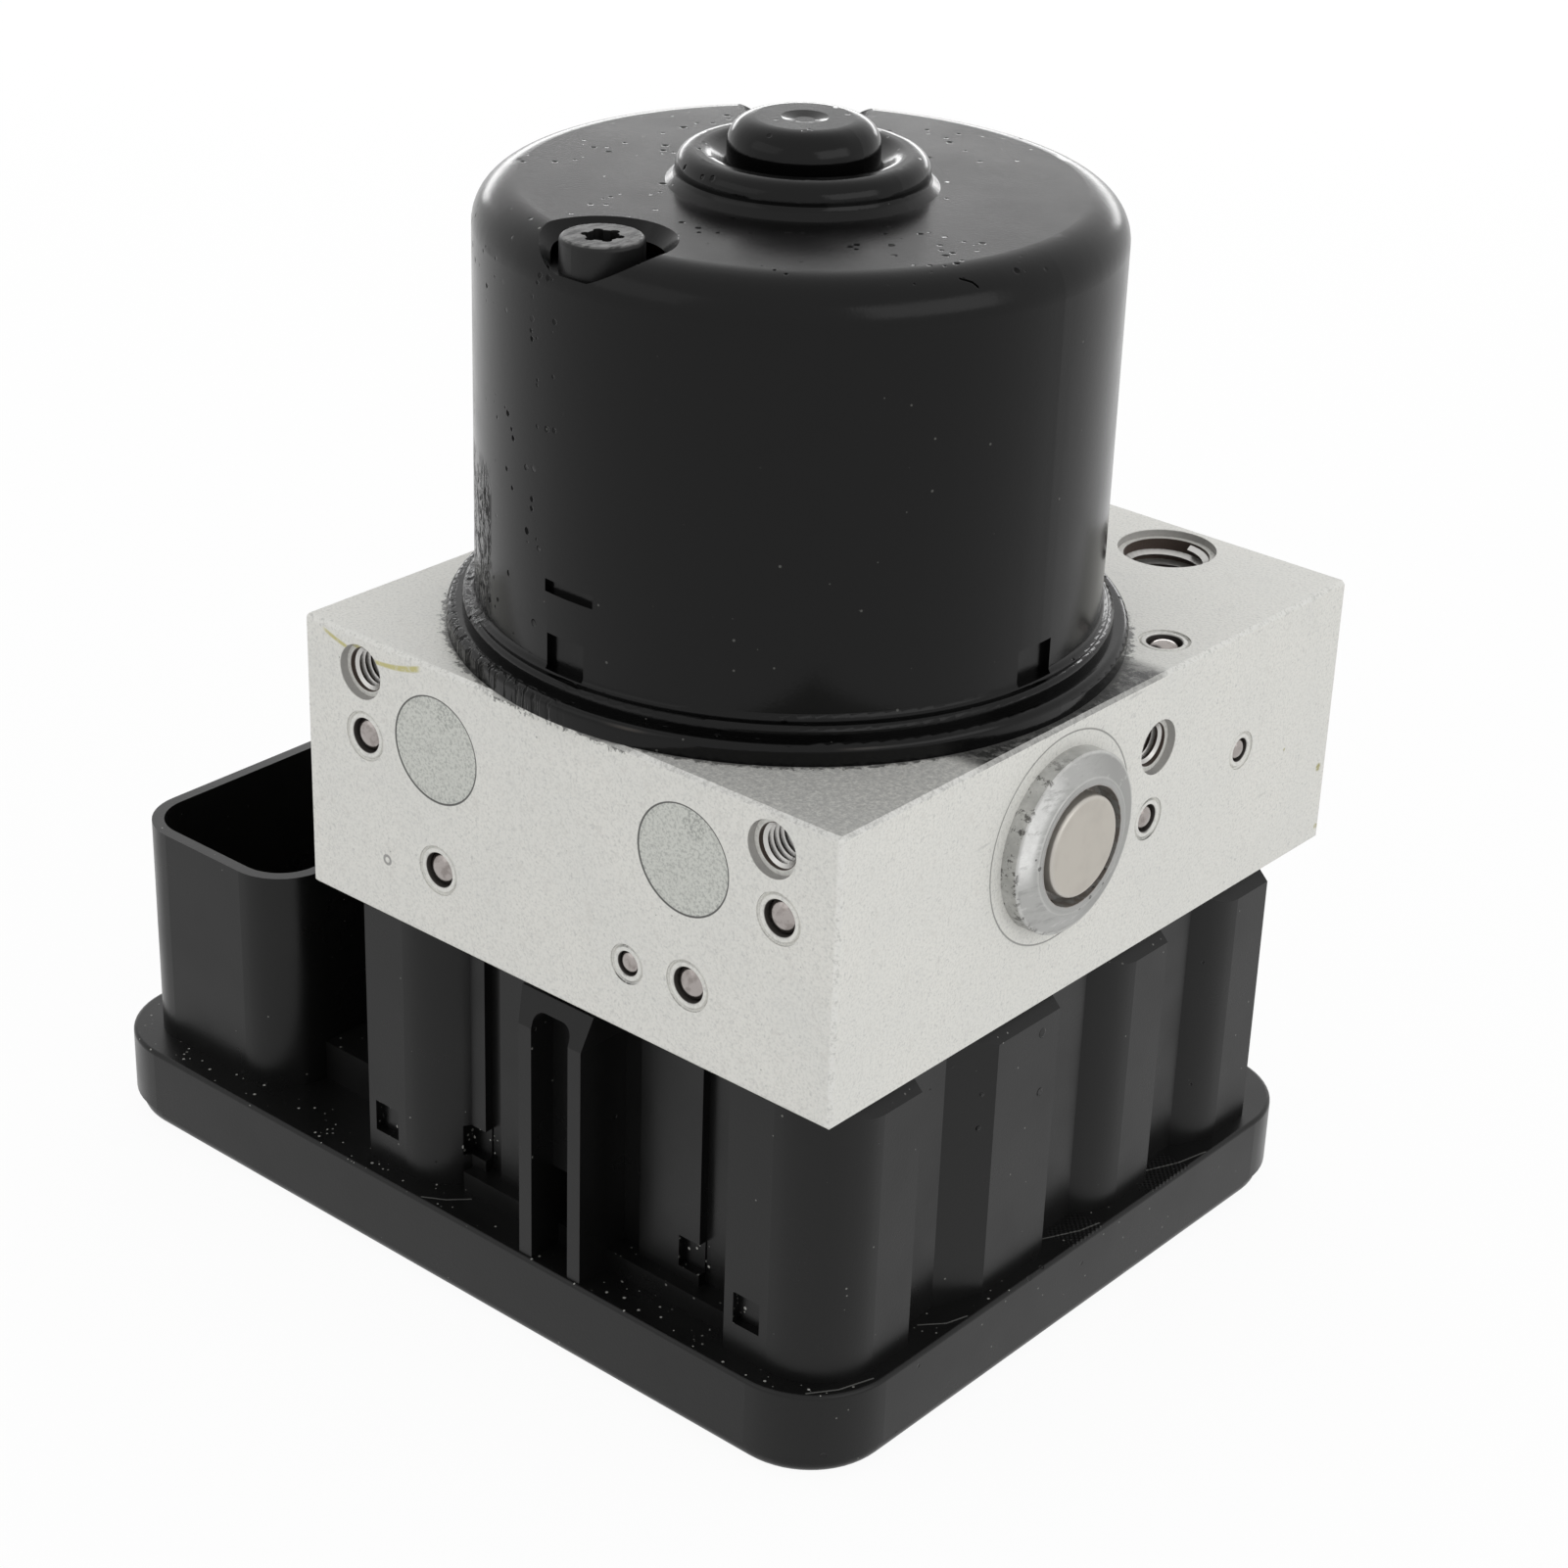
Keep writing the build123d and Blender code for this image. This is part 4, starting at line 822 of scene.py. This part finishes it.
core = Finish("core_sheets", (0.30, 0.30, 0.31), roughness=0.45, metallic=0.9)
core.raise_by(core.calc("SINE", core.calc("MULTIPLY", core.z, 12000.0)), 0.00002)
core.tint(core.step(core.noise(300.0), 0.4, 0.7), (0.24, 0.24, 0.25))
dress(core.done(), "armature_core")

board = Finish("board_lacquer", (0.02, 0.10, 0.045), roughness=0.35)
board.tint(board.step(board.noise(400.0, detail=1.0), 0.5, 0.55), (0.015, 0.075, 0.035))
dress(board.done(), "circuit_board")

# %% [markdown]
# The solids leave out what is finer than about a millimetre in the block's holes.
# Such a piece is easiest to shape round the z axis, so it is made there and then set
# into its hole. Its object stays at the origin, as the objects of the solids do.

# %% A kit for new pieces
def set_into(shape, verts, mouth, inward):
    """Turns what was made along z to point into a hole, and moves it to the mouth."""
    turn = Vector((0, 0, 1)).rotation_difference(Vector(inward)).to_matrix().to_4x4()
    bmesh.ops.transform(shape, matrix=Matrix.Translation(mouth) @ turn, verts=verts)


def new_piece(name, shape, finish):
    """Makes an object of a shape, at the origin, and gives it its finish."""
    mesh = bpy.data.meshes.new(name)
    shape.to_mesh(mesh)
    shape.free()
    mesh.materials.append(finish)
    piece = bpy.data.objects.new(name, mesh)
    bpy.context.scene.collection.objects.link(piece)
    print(name, "faces", len(mesh.polygons))
    return piece


print("pieces are set along the axes of their holes")

# %% [markdown]
# Threads are cut in the block's holes and ports. On the solids the holes are plain,
# so each thread is added as a ridge that winds down the wall. A small triangle is
# spun about the hole's axis, and every step also moves it inwards. It is let into
# the wall a little, and its foot is narrower than the pitch, so turns don't meet.

# %% Threads
thread_finish = two_tones("cut_thread", (0.60, 0.59, 0.57), (0.50, 0.49, 0.47), 900.0, share=0.4,
                          roughness=0.3, metallic=0.85)
let_in = 0.00005
foot_start, foot_end = 0.16, 0.84
steps_per_turn = 36


def thread(name, mouth, inward, radius, depth_of_cut, pitch, length):
    """A ridge wound inside a hole, from near its mouth to near its end."""
    shape = bmesh.new()
    foot = [shape.verts.new((radius + let_in, 0, share * pitch)) for share in (foot_start, foot_end)]
    crest = shape.verts.new((radius - depth_of_cut, 0, 0.5 * pitch))
    face = shape.faces.new((foot[0], crest, foot[1]))
    turns = length / pitch - 1.0
    steps = int(turns * steps_per_turn)
    bmesh.ops.spin(shape, geom=[face, *face.edges, *face.verts], cent=(0, 0, 0), axis=(0, 0, 1),
                   dvec=(0, 0, (length - pitch) / steps), angle=2 * math.pi * turns, steps=steps)
    bmesh.ops.recalc_face_normals(shape, faces=shape.faces)
    set_into(shape, shape.verts, mouth, inward)
    piece = new_piece(name, shape, thread_finish)
    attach(piece, "block")


mount_thread = {"radius": mount_bore, "depth_of_cut": 0.0005, "pitch": 0.0010, "length": 0.0095}
port_thread = {"radius": port_bore, "depth_of_cut": 0.0008, "pitch": 0.0015, "length": 0.0120}
wheel_thread = {"radius": wheel_bore, "depth_of_cut": 0.0006, "pitch": 0.0010, "length": 0.0120}
mount_sink, port_sink = 0.0012, 0.0010
for side_name, sign in (("left", -1), ("right", 1)):
    front_place = (sign * front_mount[0], block_low.y + mount_sink, block_low.z + front_mount[1])
    thread("front_thread_" + side_name, front_place, (0, 1, 0), **mount_thread)
    side_place = (sign * (block_high.x - mount_sink), side_mount[0], block_low.z + side_mount[1])
    thread("side_thread_" + side_name, side_place, (-sign, 0, 0), **mount_thread)
    port_place = (sign * port[0], port[1], block_high.z - port_sink)
    thread("port_thread_" + side_name, port_place, (0, 0, -1), **port_thread)
for number, x in enumerate((-wheel_far, -wheel_near, wheel_near, wheel_far), start=1):
    wheel_place = (x, block_high.y - port_sink, block_low.z + wheel_up)
    thread("wheel_thread_%d" % number, wheel_place, (0, -1, 0), **wheel_thread)

# %% [markdown]
# A ball is driven into each drilling of the block, and the metal of its mouth is
# staked over it. Of the ball only the cap shows, nearly level with the face, inside
# a collar with a shallow groove round it. Both are turned from a short profile.

# %% Turning a profile
def turned(shape, profile, mouth, inward):
    """A closed profile of radius and depth, spun round the axis of a hole."""
    made = [shape.verts.new((radius, 0.0, depth)) for radius, depth in profile]
    edges = [shape.edges.new((made[n], made[(n + 1) % len(made)])) for n in range(len(made))]
    before = set(shape.verts) - set(made)
    bmesh.ops.spin(shape, geom=[*made, *edges], cent=(0, 0, 0), axis=(0, 0, 1),
                   angle=2 * math.pi, steps=48, use_merge=True)
    new = [vert for vert in shape.verts if vert not in before]
    bmesh.ops.remove_doubles(shape, verts=new, dist=0.000001)
    new = [vert for vert in shape.verts if vert not in before]
    set_into(shape, new, mouth, inward)


def ride_block(name, shape, finish, smooth):
    """Cleans a closed shape and hands it to the block."""
    loose = [edge for edge in shape.edges if not edge.link_faces]
    bmesh.ops.delete(shape, geom=loose, context="EDGES")
    bmesh.ops.recalc_face_normals(shape, faces=shape.faces)
    for face in shape.faces:
        face.smooth = smooth
    piece = new_piece(name, shape, finish)
    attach(piece, "block")
    return piece


print("profiles are spun round the axis of a hole")

# %% [markdown]
# The cap is an arc, flatter than the ball's own curve, that stops just short of the
# hole's wall. The collar fills the plain recess that the solid has round each hole,
# and its groove and its crown follow from the hole's radius.

# %% Ball plugs
ball_mouths = [((x, block_low.y, block_low.z + z), (0, 1, 0), radius) for x, z, radius in front_balls]
ball_mouths += [((block_high.x, y, block_low.z + z), (-1, 0, 0), radius) for y, z, radius in side_balls]
ball_mouths.append(((*top_ball[:2], block_high.z), (0, 0, -1), top_ball[2]))
cap_share, cap_steps, cap_sink = 0.97, 12, 0.00005
cap_curve, cap_body = 1.35, 0.5
collar_width, collar_floor, ball_gap = 0.00112, 0.00088, 0.00003
lip_depth, groove_depth, groove_across = 0.00020, 0.00042, 0.00022
crown_outer, crown_inner, crown_edge = 0.00014, 0.00010, 0.00018
crown_across, chamfer_depth = 0.00046, 0.00030
caps = bmesh.new()
collars = bmesh.new()
for mouth, inward, radius in ball_mouths:
    curve = cap_curve * radius
    reach = math.asin(cap_share * radius / curve)
    turns = [reach * n / cap_steps for n in range(cap_steps + 1)]
    cap = [(curve * math.sin(turn), cap_sink + curve * (1 - math.cos(turn))) for turn in turns]
    deepest = cap[-1][1] + cap_body * radius
    turned(caps, cap + [(cap_share * radius, deepest), (0.0, deepest)], mouth, inward)
    outer = radius + collar_width
    inner = radius + ball_gap
    turned(collars, [(outer, collar_floor), (outer, lip_depth), (outer - groove_across, groove_depth),
                     (outer - crown_across, crown_outer), (inner + crown_edge, crown_inner),
                     (inner, chamfer_depth), (inner, collar_floor)], mouth, inward)
seated_balls = ride_block("seated_balls", caps, ball_finish, True)
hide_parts("ball_plugs")
ride_block("staked_collars", collars, block_finish, False)
